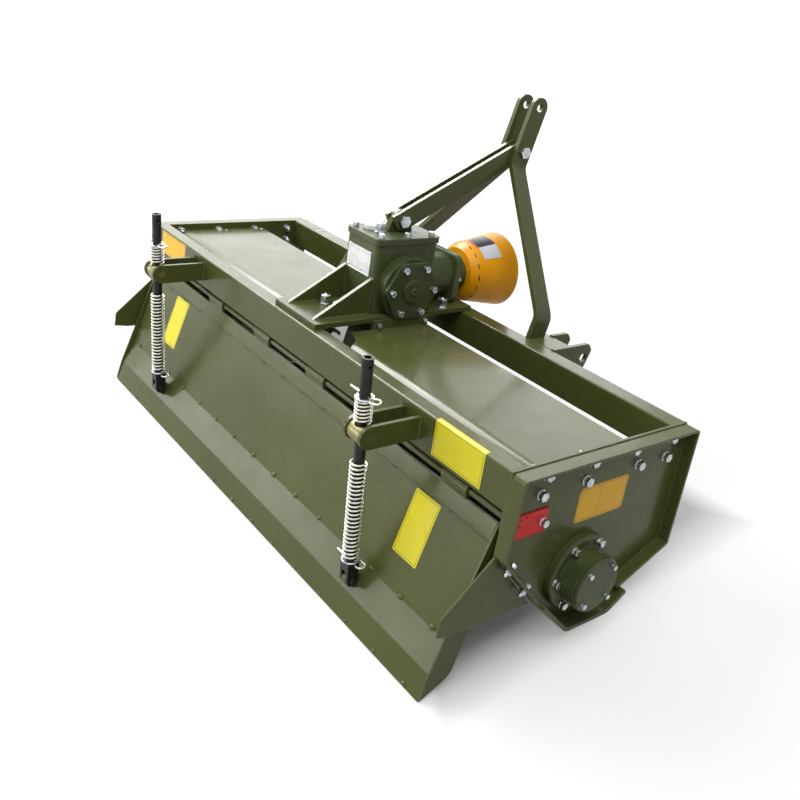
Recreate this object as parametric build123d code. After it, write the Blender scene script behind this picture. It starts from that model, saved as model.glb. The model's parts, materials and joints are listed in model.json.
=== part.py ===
from build123d import *
import os
from math import asin, atan2, cos, degrees, hypot, radians, sin, tan

# A rear-mounted rotary tiller for a tractor's three-point hitch.
# All sizes are in millimetres. The machine is drawn with the top edges of its side plates level:
# x runs to the right, y towards the tractor, z up, and the rotor's axis is the line y = 0, z = 0.
# At the end the whole machine is tipped nose-down until it stands on its skids and its apron's lip.

# Frame
BEAM_HALF = 719            # half the length of the two cross beams
BEAM_TOP = 254             # height of the beams' upper faces
BEAM_WALL = 4
REAR_BEAM_REAR = -217      # rear face of the rear beam
REAR_BEAM_DEPTH = 36
REAR_BEAM_HEIGHT = 79
FRONT_BEAM_FRONT = 262     # front face of the front beam
FRONT_BEAM_DEPTH = 45
FRONT_BEAM_HEIGHT = 73
END_PLATE = 6              # plate that closes the beams at each end
END_PLATE_BOTTOM = 138

# Side plates, folded outwards all round
SIDE_SHEET = 6
SIDE_TOP = 252
SIDE_REAR = -216
SIDE_FRONT = 265
SIDE_FRONT_LOW = -12       # where the front edge turns under
SIDE_REAR_LOW = 93         # where the rear edge turns under
FLANGE_REACH = 25
FLANGE_SHEET = 5
SIDE_CORNER = 8
SIDE_TOE = (21, 12)        # from the skid's tip back and up to the side plate's front lower corner

# Skids
SKID_THICK = 8
SKID_WIDTH = 42
SKID_INSET = 9             # how far the skid starts inside the side plate's outer face
SKID_BOTTOM = -119.5
SKID_FLAT_REAR = -22
SKID_KNEE = 99             # front end of the flat, before its bend
SKID_BEND = 30             # outer radius of both bends
SKID_TIP = (148, -87)
SKID_TAIL = (-102, -41)

# Rotor
TINE_RADIUS = 126
TINE_THICK = 8
TINE_FOOT = 42             # how far the bent end reaches sideways
TINE_BEND = 16
TINE_SHANK = 34
TINE_PITCH = 76            # from one pair of tines to the next
TINE_END_ROOM = 55         # from the first and last pair to the ends of a rotor half
TINE_NECK = 70             # radius where a tine starts to sweep back
TINE_SWEEP = 20            # how far its back edge ends behind the shank
HOLDER_WALL = 6            # socket that a tine's shank is bolted in
HOLDER_HEIGHT = 26
TINE_TWIST = 67.5          # turn from one station to the next
ROTOR_TUBE = 28            # radius
ROTOR_FLANGE = 50          # radius
ROTOR_FLANGE_THICK = 10
ROTOR_START = 52           # inner end of each rotor half
ROTOR_CLEAR = 20           # from the rotor's outer flange to the side plate
STUB_RADIUS = 20
STUB_REACH = 45            # length of stub outside the side plate's inner face
AXLE_RADIUS = 25
RUN_CLEAR = 0.3            # running clearance of shafts and pins

# Rotor bearings
HOUSING_FLANGE = 79        # radius
HOUSING_FLANGE_THICK = 18
HOUSING_NECK = 58          # radius
HOUSING_REACH = 54         # from the side plate to the cap
HOUSING_BEVEL = 3
CAP_RADIUS = 56
CAP_THICK = 8
CAP_BEVEL = 2
SIDE_PLATE_HOLE = 32       # radius, round the stub

# Centre drive
CASE_HALF = 40
CASE_BOTTOM = 72           # radius of the case round the axle
CASE_TOP_REAR = -14
CASE_TOP_FRONT = 92
CASE_NECK = 30             # straight stretch under the gearbox base

# Gearbox
BOX_HALF = 63
BOX_REAR = -47
BOX_FRONT = 126
BOX_TOP = 426
BOX_CORNER = 14
BASE_THICK = 12
BASE_HALF = 85
BASE_REAR = -205
BASE_FRONT = 242
GUSSET_THICK = 10
GUSSET_X = 49              # inner face of each rear gusset
GUSSET_HEIGHT = 84
GUSSET_INSET = 12          # from the base plate's rear edge
COVER_THICK = 14
COVER_OVERHANG = 3
BOSS_RADIUS = 74
BOSS_CLEAR = 3             # from the base plate's edge to the side cover
SIDE_COVER_RADIUS = 76     # corner radius of the six-sided cover
SIDE_COVER_THICK = 10
SIDE_COVER_CORNER = 14
SIDE_COVER_HUB = 26
SIDE_COVER_HUB_RISE = 5
INPUT_Y = 39               # the side covers' place along y
INPUT_Z = 326              # height of the input shaft
PLUG_RADIUS = 21
PLUG_HEIGHT = 11
PLUG_AT = (-28, -4)
PLUG_BEVEL = 2

# Input shaft, its bearing and its guard
SLEEVE_RADIUS = 52
SLEEVE_END = 196
SLEEVE_PLATE_THICK = 16    # square plate that stands on the gearbox base
SLEEVE_PLATE_CORNER = 20
SLEEVE_NOSE = 44
GUARD_REAR = 246
GUARD_FRONT = 378
GUARD_NECK = 62            # radius at the rear end
GUARD_SHOULDER = 22        # length of the steep ring behind the bell
GUARD_REAR_RADIUS = 74     # radius where the bell starts
GUARD_FRONT_RADIUS = 93
GUARD_WALL = 3
SHAFT_RADIUS = 17.5
SHAFT_SEAT = 10            # depth of solid metal behind the shaft's bore
SHAFT_SHOULDER = 6         # plain stretch that shows ahead of the bearing
SPLINE_DEPTH = 2.6
SPLINE_WIDTH = 8.6
SPLINE_COUNT = 6
SHAFT_END = 330

# Hood
HOOD_SHEET = 4
HOOD_FRONT = 104
HOOD_TOP = 238
HOOD_REAR_Z = 203
HOOD_SHOULDER = -146
HOOD_BEND = 30
HOOD_FALL = 2              # slope of the top towards the front
HOOD_UPRIGHT = 6           # thickness of the upright that bolts to the gearbox base's edge
HOOD_UPRIGHT_REAR = -52
HOOD_UPRIGHT_FRONT = 104
HOOD_CORNER = 70           # rounded corner behind the gearbox base

# Top lug, stays and mast
LUG_THICK = 16
LUG_PIVOT = (49, 467)
LUG_HEAD = 24
LUG_FOOT = 34
LUG_EDGE = 4               # upright edge at the lug's foot
STAY_THICK = 10
STAY_WIDTH = 45
STAY_UP = 391              # from the mast's foot to the stay's bolt, along the lean
STAY_BOLT = 10             # radius
BOLT_HEAD = 15
BOLT_HEAD_THICK = 9
MAST_THICK = 12
MAST_WIDTH = 50
MAST_FOOT_Y = 284
MAST_LEAN = 14.2           # forward lean, in degrees
MAST_FOOT_X = 265
MAST_FOOT_RISE = 48        # upright stretch above the foot, along the bar
MAST_BEND_UP = 352         # from the foot to the upper bend, along the lean
MAST_HOLE_UP = 502         # from the foot to the top-link hole, along the lean
MAST_BEND_RADIUS = 30
TOP_HOLE = 9.7             # radius

# Lower hitch brackets
BRACKET_X = 317            # middle of each clevis
BRACKET_GAP = 58
BRACKET_PLATE = 10
BRACKET_HOLE = (368, 224)
LOWER_HOLE = 11.2          # radius
BRACKET_NOSE = 25          # how far a cheek reaches ahead of its hole
BRACKET_RISE = 33          # from the hole up to the cheek's top edge
BRACKET_DROP = 27          # from the hole down to the cheek's lower front corner
BRACKET_CORNER = 8
BRACKET_BOTTOM = 184
BRACKET_LID = 8            # plate between the cheeks that the mast stands on
BRACKET_LID_FRONT = 327
BRACKET_LID_EDGE = 3       # how far the lid shows beside the mast's foot

# Apron
APRON_CLEAR = 6            # from the apron's end plates to the frame's
APRON_SHEET = 4
APRON_HINGE = (-204, 160)
APRON_TOP = (-208, 144)
APRON_INNER_FOLD = (-277, -83)
APRON_OUTER_FOLD = (-307, -140)
APRON_LIP = (-323, -192.5)
APRON_BEND = 6
END_SHEET = 4
END_TOP_DEPTH = 16         # the end plate's depth at its top
END_STRAIGHT = 144         # straight upper stretch of its front edge
END_BELLY = 48             # how far its rounded corner lies ahead of the outer fold
END_DROP = 17              # and how far under it
END_ROUND = 30
HINGE_ROD = 7              # radius
KNUCKLE_WALL = 4.5
KNUCKLE_LENGTH = 70
KNUCKLE_COUNT = 6
STRAP_WIDTH = 34
STRAP_THICK = 5

# Side shields, bolted under the side plates' sloping rear flange
SHIELD_SHEET = 4
SHIELD_TAIL = (-324, 0)
SHIELD_LOW_TAIL = (-326, -36)
SHIELD_BOTTOM = -42
SHIELD_FOOT = 38           # length of the slope between the tail and the bottom edge
SHIELD_REAR = 8            # how far the side plate's rear edge leans back at its lower corner

# Spring rods
ROD_X = 453
ROD_RADIUS = 11
ROD_BORE = 7
ROD_TOP_Z = 363
ROD_TOP_HOLE = 4
ROD_TOP_HOLE_DEPTH = 16
ROD_SOLID = 40             # solid stretch above the lower collar
ROD_PIN_Y = -310
ROD_PIN_Z = -104
TRUNNION_Y = -328
TRUNNION_Z = 216
TRUNNION_RADIUS = 20
TRUNNION_PIN = 8
ROD_SLACK = 2.5            # room for the rod to drift in its trunnion
ARM_GAP = 40
ARM_PLATE = 8
ARM_HEIGHT = 46
CLEVIS_PLATE = 6
CLEVIS_GAP = 14
CLEVIS_WIDTH = 26
CLEVIS_SLOT = 22            # open length of the fork above its pin
CLEVIS_PIN = 6
LUG_PLATE = 12
SPRING_WIRE = 4
SPRING_RADIUS = 13.5       # inside
SPRING_TURNS = 24
UPPER_SPRING_TURNS = 6
SPRING_STEPS = 10          # straight steps in one turn
SPRING_END_GAP = 0.6       # between the closed turns at each end
SPRING_TOP = 158           # height of the lower spring's upper end
SPRING_FOOT = -58
UPPER_SPRING_TOP = 284
ROD_COLLAR = 3

SIDE_INNER = BEAM_HALF + END_PLATE
SIDE_OUTER = SIDE_INNER + SIDE_SHEET
BASE_TOP = BEAM_TOP + BASE_THICK
REAR_BEAM_FRONT = REAR_BEAM_REAR + REAR_BEAM_DEPTH
FRONT_BEAM_REAR = FRONT_BEAM_FRONT - FRONT_BEAM_DEPTH
MAST_UP = (sin(radians(MAST_LEAN)), cos(radians(MAST_LEAN)))
STAY_END = (MAST_FOOT_Y + STAY_UP * MAST_UP[0], BEAM_TOP + STAY_UP * MAST_UP[1])
ROTOR_END = SIDE_INNER - ROTOR_CLEAR
UPPER_SPRING_FOOT = TRUNNION_Z + TRUNNION_RADIUS + RUN_CLEAR
BOSS_REACH = BASE_HALF + BOSS_CLEAR
APRON_HALF = BEAM_HALF - APRON_CLEAR


def slab(shape, low_x, high_x):
    """A piece cut to a shape in the side view, between two places along x."""
    return Pos(X=low_x) * extrude(Plane.YZ * shape, amount=high_x - low_x)


def outline(*points):
    """A straight-sided outline in the side view."""
    return make_face(Polyline(*points, close=True))


def oblong(rear, low, front, high):
    """A rectangle in the side view."""
    return Pos((rear + front) / 2, (low + high) / 2) * Rectangle(front - rear, high - low)


def disc(radius, place=(0, 0)):
    return Pos(*place) * Circle(radius)


def along_x(radius, low_x, high_x, place=(0, 0)):
    """A round bar along x, with its axis at a place in the side view."""
    return slab(disc(radius, place), low_x, high_x)


def along_y(radius, low_y, high_y, z):
    return Pos(Y=low_y, Z=z) * extrude(Plane.XZ * Circle(radius), amount=low_y - high_y)


def folded_sheet(points, bend, thickness):
    """The section of a sheet folded along points, with the metal on the left of the line."""
    line = [Vector(*point) for point in points]
    runs = [(b - a).normalized() for a, b in zip(line, line[1:])]
    normals = [Vector(-run.Y, run.X) for run in runs]
    other = [line[0] + normals[0] * thickness]
    near, far = [], []
    for corner, before, after, n, m in zip(line[1:], runs, runs[1:], normals, normals[1:]):
        other.append(corner + (n + m) * (thickness / (1 + n.dot(m))))
        turns_left = before.X * after.Y - before.Y * after.X > 0
        near.append(bend + thickness if turns_left else bend)
        far.append(bend if turns_left else bend + thickness)
    other.append(line[-1] + normals[-1] * thickness)
    one_side = FilletPolyline(*line, radius=near)
    other_side = FilletPolyline(*other, radius=far)
    ends = [Line(line[0], other[0]), Line(line[-1], other[-1])]
    return make_face(one_side.edges() + other_side.edges() + ends)


def mirrored(piece):
    """The same piece on the left-hand side."""
    return mirror(piece, about=Plane.YZ)


def pair(piece):
    """A right-hand piece and its left-hand twin, in one node."""
    return Compound([piece, mirrored(piece)])


# Frame: two beams between two end plates
def beam(rear, depth, height):
    middle = (rear + depth / 2, BEAM_TOP - height / 2)
    hollow = Rectangle(depth - 2 * BEAM_WALL, height - 2 * BEAM_WALL)
    section = RectangleRounded(depth, height, BEAM_WALL) - hollow
    return slab(Pos(*middle) * section, -BEAM_HALF, BEAM_HALF)


def end_plate():
    plate = oblong(REAR_BEAM_REAR, END_PLATE_BOTTOM, FRONT_BEAM_FRONT, BEAM_TOP)
    return slab(plate, BEAM_HALF, SIDE_INNER)


def side_outline():
    bottom = SKID_BOTTOM + SKID_THICK
    return outline(
        (SIDE_REAR, SIDE_TOP),
        (SIDE_FRONT, SIDE_TOP),
        (SIDE_FRONT, SIDE_FRONT_LOW),
        (SKID_TIP[0] - SIDE_TOE[0], SKID_TIP[1] + SIDE_TOE[1]),
        (SKID_KNEE, bottom),
        (SKID_FLAT_REAR, bottom),
        SKID_TAIL,
        (SIDE_REAR - SHIELD_REAR, SIDE_REAR_LOW),
    )


def side_plate():
    whole = side_outline()
    whole = fillet(whole.vertices(), SIDE_CORNER)
    sheet = slab(whole, SIDE_INNER, SIDE_OUTER) - along_x(SIDE_PLATE_HOLE, SIDE_INNER, SIDE_OUTER)
    rim = whole - offset(whole, -FLANGE_SHEET)
    skid_part = outline(
        (SKID_TAIL[0] - SKID_WIDTH, SKID_TAIL[1]),
        (SKID_TIP[0], SKID_TIP[1] + SIDE_TOE[1]),
        (SKID_TIP[0], SKID_BOTTOM),
        (SKID_TAIL[0] - SKID_WIDTH, SKID_BOTTOM),
    )
    flange = slab(rim - skid_part, SIDE_OUTER, SIDE_OUTER + FLANGE_REACH)
    return sheet + flange


def skid_points():
    return [SKID_TAIL, (SKID_FLAT_REAR, SKID_BOTTOM), (SKID_KNEE, SKID_BOTTOM), SKID_TIP]


def skid():
    section = folded_sheet(skid_points(), SKID_BEND - SKID_THICK, SKID_THICK)
    low_x = SIDE_OUTER - SKID_INSET
    runner = slab(section, low_x, low_x + SKID_WIDTH)
    return runner - side_plate()


# Rotor
def tine():
    """One bent tine that points up from the rotor's axis, with its foot towards +x."""
    root = ROTOR_TUBE - TINE_THICK / 2
    crook = TINE_RADIUS - TINE_THICK
    bar = folded_sheet([(0, root), (0, crook), (TINE_FOOT, crook)], TINE_BEND, TINE_THICK)
    bar = extrude(Plane.XZ * bar, amount=TINE_RADIUS, both=True)
    half = TINE_SHANK / 2
    tip = -half - TINE_SWEEP
    beyond = TINE_RADIUS + TINE_THICK
    bow = (TINE_NECK + TINE_RADIUS) / 2
    cutting_edge = ThreePointArc((half, TINE_NECK), (TINE_SHANK / 3, bow), (-half, beyond))
    back_edge = ThreePointArc((tip, beyond), (-half - TINE_SWEEP / 3, bow), (-half, TINE_NECK))
    shank = Polyline((-half, TINE_NECK), (-half, root), (half, root), (half, TINE_NECK))
    blade = make_face([cutting_edge, Line((-half, beyond), (tip, beyond)), back_edge] + shank.edges())
    return bar & slab(blade & Circle(TINE_RADIUS), -TINE_THICK, TINE_FOOT)


def holder():
    """The socket that a tine's shank is bolted in."""
    middle = ROTOR_TUBE + HOLDER_HEIGHT / 3
    width = TINE_THICK + 2 * HOLDER_WALL
    return Pos(X=-TINE_THICK / 2, Z=middle) * Box(width, TINE_SHANK + HOLDER_WALL, HOLDER_HEIGHT)


def rotor_half():
    half = along_x(ROTOR_TUBE, ROTOR_START, ROTOR_END)
    half += along_x(ROTOR_FLANGE, ROTOR_START, ROTOR_START + ROTOR_FLANGE_THICK)
    half += along_x(ROTOR_FLANGE, ROTOR_END - ROTOR_FLANGE_THICK, ROTOR_END)
    half += along_x(STUB_RADIUS, ROTOR_END, SIDE_INNER + STUB_REACH)
    one = tine() + holder()
    other = mirrored(one)
    middle = (ROTOR_START + ROTOR_END) / 2
    gaps = int((ROTOR_END - ROTOR_START - 2 * TINE_END_ROOM) / TINE_PITCH)
    pieces = []
    for station in range(gaps + 1):
        x = middle + (station - gaps / 2) * TINE_PITCH
        turn = station * TINE_TWIST
        pieces.append(Pos(X=x) * Rot(X=turn) * one)
        pieces.append(Pos(X=x) * Rot(X=turn + 180) * other)
    return half + pieces


def rotor_axle():
    return along_x(AXLE_RADIUS, -ROTOR_START, ROTOR_START)


def bearing_housing():
    neck_end = SIDE_OUTER + HOUSING_REACH
    flange_end = SIDE_OUTER + HOUSING_FLANGE_THICK
    body = along_x(HOUSING_FLANGE, SIDE_OUTER, flange_end)
    body = chamfer(body.edges().group_by(Axis.X)[-1], HOUSING_BEVEL)
    body += along_x(HOUSING_NECK, flange_end, neck_end)
    seat = STUB_RADIUS + RUN_CLEAR
    return body - along_x(seat, SIDE_OUTER, SIDE_INNER + STUB_REACH + RUN_CLEAR)


def bearing_cap():
    low = SIDE_OUTER + HOUSING_REACH
    cap = along_x(CAP_RADIUS, low, low + CAP_THICK)
    return chamfer(cap.edges().group_by(Axis.X)[-1], CAP_BEVEL)


# Centre drive and gearbox
def drive_case():
    low = BEAM_TOP - CASE_NECK
    top = oblong(CASE_TOP_REAR, low, CASE_TOP_FRONT, BEAM_TOP)
    shape = make_hull(top.edges() + Circle(CASE_BOTTOM).edges())
    case = slab(shape, -CASE_HALF, CASE_HALF)
    return case - along_x(AXLE_RADIUS + RUN_CLEAR, -CASE_HALF, CASE_HALF)


def gearbox_base():
    plate = Pos(Y=(BASE_REAR + BASE_FRONT) / 2, Z=BEAM_TOP + BASE_THICK / 2) * Box(
        2 * BASE_HALF, BASE_FRONT - BASE_REAR, BASE_THICK)
    rear = BASE_REAR + GUSSET_INSET
    web = outline((rear, BASE_TOP), (BOX_REAR, BASE_TOP), (BOX_REAR, BASE_TOP + GUSSET_HEIGHT))
    gusset = slab(web, GUSSET_X, GUSSET_X + GUSSET_THICK)
    return plate + gusset + mirrored(gusset)


def gearbox_housing():
    depth = BOX_FRONT - BOX_REAR
    height = BOX_TOP - BASE_TOP
    box = Pos(Y=(BOX_REAR + BOX_FRONT) / 2, Z=BASE_TOP + height / 2) * Box(2 * BOX_HALF, depth, height)
    box = fillet(box.edges().filter_by(Axis.Z), BOX_CORNER)
    boss = disc(BOSS_RADIUS, (INPUT_Y, INPUT_Z))
    above = Pos(INPUT_Y, BASE_TOP + BOSS_RADIUS) * Rectangle(2 * BOSS_RADIUS, 2 * BOSS_RADIUS)
    box += slab(boss & above, -BOSS_REACH, BOSS_REACH)
    return box


def top_cover():
    depth = BOX_FRONT - BOX_REAR + 2 * COVER_OVERHANG
    plate = Pos(Y=(BOX_REAR + BOX_FRONT) / 2, Z=BOX_TOP + COVER_THICK / 2) * Box(
        2 * (BOX_HALF + COVER_OVERHANG), depth, COVER_THICK)
    return fillet(plate.edges().filter_by(Axis.Z), BOX_CORNER)


def filler_plug():
    base = BOX_TOP + COVER_THICK
    plug = Pos(PLUG_AT[0], PLUG_AT[1], base + PLUG_HEIGHT / 2) * Cylinder(PLUG_RADIUS, PLUG_HEIGHT)
    return chamfer(plug.edges().group_by(Axis.Z)[-1], PLUG_BEVEL)


def side_cover():
    place = Pos(INPUT_Y, INPUT_Z)
    hexagon = place * fillet(RegularPolygon(SIDE_COVER_RADIUS, 6).vertices(), SIDE_COVER_CORNER)
    outer = BOSS_REACH + SIDE_COVER_THICK
    cover = slab(hexagon, BOSS_REACH, outer)
    return cover + along_x(SIDE_COVER_HUB, outer, outer + SIDE_COVER_HUB_RISE, (INPUT_Y, INPUT_Z))


def input_bearing():
    body = along_y(SLEEVE_RADIUS, BOX_FRONT, SLEEVE_END, INPUT_Z)
    side = 2 * (INPUT_Z - BASE_TOP)
    square = RectangleRounded(side, side, SLEEVE_PLATE_CORNER)
    body += Pos(Y=SLEEVE_END, Z=INPUT_Z) * extrude(Plane.XZ * square, amount=-SLEEVE_PLATE_THICK)
    body += along_y(SLEEVE_NOSE, SLEEVE_END + SLEEVE_PLATE_THICK, GUARD_REAR + GUARD_WALL, INPUT_Z)
    return body - along_y(SHAFT_RADIUS + RUN_CLEAR, BOX_FRONT + SHAFT_SEAT, SHAFT_END, INPUT_Z)


def pto_guard():
    """A thin bell with a steep ring at its rear end, turned about the input shaft."""
    bell = GUARD_REAR + GUARD_SHOULDER
    outside = [(GUARD_NECK, GUARD_REAR), (GUARD_REAR_RADIUS, bell), (GUARD_FRONT_RADIUS, GUARD_FRONT)]
    inside = [(radius - GUARD_WALL, y) for radius, y in outside[:0:-1]]
    seat = GUARD_REAR + GUARD_WALL
    floor = [(GUARD_NECK - GUARD_WALL, seat), (SLEEVE_NOSE, seat), (SLEEVE_NOSE, GUARD_REAR)]
    section = outline(*outside, *inside, *floor)
    return Pos(Z=INPUT_Z) * revolve(section, Axis.Y)


def input_shaft():
    low = BOX_FRONT + SHAFT_SEAT + RUN_CLEAR
    plain_end = GUARD_REAR + GUARD_WALL + SHAFT_SHOULDER
    shaft = along_y(SHAFT_RADIUS, low, plain_end, INPUT_Z)
    groove = Pos(X=SHAFT_RADIUS) * Rectangle(2 * SPLINE_DEPTH, SPLINE_WIDTH)
    section = Circle(SHAFT_RADIUS)
    for number in range(SPLINE_COUNT):
        section -= Rot(Z=number * 360 / SPLINE_COUNT) * groove
    return shaft + Pos(Y=plain_end, Z=INPUT_Z) * extrude(Plane.XZ * section, amount=plain_end - SHAFT_END)


# Hood
def hood():
    front_z = HOOD_TOP - HOOD_FALL
    line = [(HOOD_FRONT, front_z), (HOOD_SHOULDER, HOOD_TOP), (REAR_BEAM_FRONT, HOOD_REAR_Z)]
    sheet = slab(folded_sheet(line, HOOD_BEND, HOOD_SHEET), BASE_HALF, BEAM_HALF)
    cut = Pos(BASE_HALF, REAR_BEAM_FRONT, HOOD_REAR_Z - HOOD_BEND) * Circle(HOOD_CORNER)
    sheet -= extrude(cut, amount=BEAM_TOP - HOOD_REAR_Z + HOOD_BEND)
    below_cover = INPUT_Z - SIDE_COVER_RADIUS * cos(radians(30)) - RUN_CLEAR
    upright = oblong(HOOD_UPRIGHT_REAR, front_z, HOOD_UPRIGHT_FRONT, below_cover)
    return sheet + slab(upright, BASE_HALF, BASE_HALF + HOOD_UPRIGHT)


# Lug, stays and mast
def top_lug():
    base = BOX_TOP + COVER_THICK
    foot = oblong(LUG_PIVOT[0] - LUG_FOOT, base, LUG_PIVOT[0] + LUG_FOOT, base + LUG_EDGE)
    head = disc(LUG_HEAD, LUG_PIVOT)
    plate = make_hull(foot.edges() + head.edges()) - disc(STAY_BOLT + RUN_CLEAR, LUG_PIVOT)
    return slab(plate, -LUG_THICK / 2, LUG_THICK / 2)


def stay():
    (y, z), (end_y, end_z) = LUG_PIVOT, STAY_END
    length = hypot(end_y - y, end_z - z)
    bar = Pos(length / 2, 0) * SlotCenterToCenter(length, STAY_WIDTH)
    bar += Pos(-STAY_WIDTH / 4, STAY_WIDTH / 4) * Rectangle(STAY_WIDTH / 2, STAY_WIDTH / 2)
    holes = disc(STAY_BOLT + RUN_CLEAR) + disc(STAY_BOLT + RUN_CLEAR, (length, 0))
    plate = Pos(y, z) * Rot(Z=degrees(atan2(end_z - z, end_y - y))) * (bar - holes)
    return slab(plate, LUG_THICK / 2, LUG_THICK / 2 + STAY_THICK)


def stay_bolts():
    """The bolt at each end of the stays, with its head and nut."""
    grip = {LUG_PIVOT: LUG_THICK / 2 + STAY_THICK, STAY_END: LUG_THICK / 2 + STAY_THICK + MAST_THICK}
    bolts = []
    for place, half in grip.items():
        bolt = along_x(STAY_BOLT, -half - BOLT_HEAD_THICK, half + BOLT_HEAD_THICK, place)
        head = slab(Pos(*place) * RegularPolygon(BOLT_HEAD, 6), half, half + BOLT_HEAD_THICK)
        bolts.append(bolt + head + mirrored(head))
    return Compound(bolts)


def mast_plane():
    """The leaning plane of the mast: local x across, local y up the lean from the feet."""
    return Plane(origin=(0, MAST_FOOT_Y, BEAM_TOP), x_dir=(1, 0, 0), z_dir=(0, -MAST_UP[1], MAST_UP[0]))


def mast_bar():
    inner = LUG_THICK / 2 + STAY_THICK
    top = MAST_HOLE_UP + MAST_WIDTH / 2
    line = [(inner, top), (inner, MAST_BEND_UP), (MAST_FOOT_X, MAST_FOOT_RISE), (MAST_FOOT_X, -MAST_WIDTH)]
    front_view = folded_sheet(line, MAST_BEND_RADIUS, MAST_THICK)
    bar = extrude(mast_plane() * front_view, amount=MAST_WIDTH / 2, both=True)
    along = Pos(MAST_FOOT_Y, BEAM_TOP) * Rot(Z=90 - MAST_LEAN)
    strip = along * Pos(top / 2 - MAST_WIDTH / 2, 0) * SlotOverall(top + MAST_WIDTH, MAST_WIDTH)
    above = Pos(MAST_FOOT_Y, BEAM_TOP + top) * Rectangle(4 * top, 2 * top)
    hole_at = (MAST_FOOT_Y + MAST_HOLE_UP * MAST_UP[0], BEAM_TOP + MAST_HOLE_UP * MAST_UP[1])
    side_view = (strip & above) - disc(TOP_HOLE, hole_at) - disc(STAY_BOLT + RUN_CLEAR, STAY_END)
    return bar & slab(side_view, 0, 2 * MAST_FOOT_X)


def hitch_bracket():
    """Two cheeks with the lower-link holes, and the lid between them under the mast's foot."""
    y, z = BRACKET_HOLE
    top = z + BRACKET_RISE
    cheek = outline(
        (FRONT_BEAM_FRONT, top),
        (y + BRACKET_NOSE / 2, top),
        (y + BRACKET_NOSE, z + BRACKET_RISE / 2),
        (y + BRACKET_NOSE / 3, z - BRACKET_DROP),
        (FRONT_BEAM_FRONT, BRACKET_BOTTOM),
    )
    corners = [corner for corner in cheek.vertices() if corner.X > FRONT_BEAM_FRONT + BRACKET_CORNER]
    cheek = fillet(corners, BRACKET_CORNER) - disc(LOWER_HOLE, BRACKET_HOLE)
    inner = BRACKET_X - BRACKET_GAP / 2
    outer = BRACKET_X + BRACKET_GAP / 2
    under_mast = cheek - oblong(FRONT_BEAM_FRONT, BEAM_TOP, BRACKET_LID_FRONT, top)
    plates = slab(under_mast, inner - BRACKET_PLATE, inner) + slab(cheek, outer, outer + BRACKET_PLATE)
    lid = oblong(FRONT_BEAM_FRONT, BEAM_TOP - BRACKET_LID, BRACKET_LID_FRONT, BEAM_TOP)
    return plates + slab(lid, MAST_FOOT_X - BRACKET_LID_EDGE, outer)


# Apron
def apron_line():
    return [APRON_TOP, APRON_INNER_FOLD, APRON_OUTER_FOLD, APRON_LIP]


def apron_panel():
    section = folded_sheet(apron_line(), APRON_BEND, APRON_SHEET)
    half = APRON_HALF - END_SHEET
    return slab(section, -half, half)


def apron_end():
    """The plate that closes the apron's end, with a rounded belly in front and a point at the lip."""
    top, fold, lip = Vector(*APRON_TOP), Vector(*APRON_OUTER_FOLD), Vector(*APRON_LIP)
    behind = Vector(-END_SHEET, 0)
    belly = fold + Vector(END_BELLY, -END_DROP)
    shape = outline(
        lip + Vector(END_SHEET, END_SHEET),
        lip + Vector(0, END_SHEET),
        fold + behind,
        top + behind,
        top + behind + Vector(END_TOP_DEPTH, 0),
        top + behind * 2 - Vector(0, END_STRAIGHT),
        belly,
    )
    corner = shape.vertices().sort_by_distance(belly)[0]
    shape = fillet(corner, END_ROUND)
    return slab(shape, APRON_HALF - END_SHEET, APRON_HALF)


def hinge_rod():
    return along_x(HINGE_ROD, -BEAM_HALF, BEAM_HALF, APRON_HINGE)


def apron_hinge():
    """The strap along the apron's top edge, with the knuckles that turn on the hinge rod."""
    bore = HINGE_ROD + RUN_CLEAR
    outside = bore + KNUCKLE_WALL
    y, z = APRON_HINGE
    top = Vector(*APRON_TOP)
    down = (Vector(*APRON_INNER_FOLD) - top).normalized()
    out = Vector(down.Y, -down.X)
    foot = top + down * STRAP_WIDTH
    strap = outline((top.X, top.Y), (foot.X, foot.Y), tuple(foot + out * STRAP_THICK)[:2],
                    tuple(top + out * STRAP_THICK)[:2])
    half = APRON_HALF - END_SHEET
    piece = slab(strap, -half, half)
    tab = outline((top.X, top.Y), tuple(top + out * STRAP_THICK)[:2], (y - outside, z), (y, z))
    ring = make_hull(tab.edges() + disc(outside, APRON_HINGE).edges()) & (
        disc(outside, APRON_HINGE) + tab)
    ring = ring - disc(bore, APRON_HINGE)
    spacing = 2 * half / KNUCKLE_COUNT
    for number in range(KNUCKLE_COUNT):
        x = -half + (number + 0.5) * spacing
        piece += slab(ring, x - KNUCKLE_LENGTH / 2, x + KNUCKLE_LENGTH / 2)
    return piece


def rod_lug():
    """The ear on the apron's ledge that the spring rod is pinned to."""
    fold, outer = Vector(*APRON_INNER_FOLD), Vector(*APRON_OUTER_FOLD)
    along = (outer - fold).normalized()
    middle = fold + along * ((Vector(ROD_PIN_Y, ROD_PIN_Z) - fold).dot(along))
    half = CLEVIS_WIDTH * 0.6
    out = Vector(along.Y, -along.X)
    foot_a, foot_b = middle - along * half, middle + along * half
    foot = outline(tuple(foot_a)[:2], tuple(foot_b)[:2], tuple(foot_b + out)[:2], tuple(foot_a + out)[:2])
    head = disc(CLEVIS_WIDTH / 2, (ROD_PIN_Y, ROD_PIN_Z))
    ear = make_hull(foot.edges() + head.edges()) - disc(CLEVIS_PIN + RUN_CLEAR, (ROD_PIN_Y, ROD_PIN_Z))
    piece = slab(ear, ROD_X - LUG_PLATE / 2, ROD_X + LUG_PLATE / 2)
    return piece - apron_panel()


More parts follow.
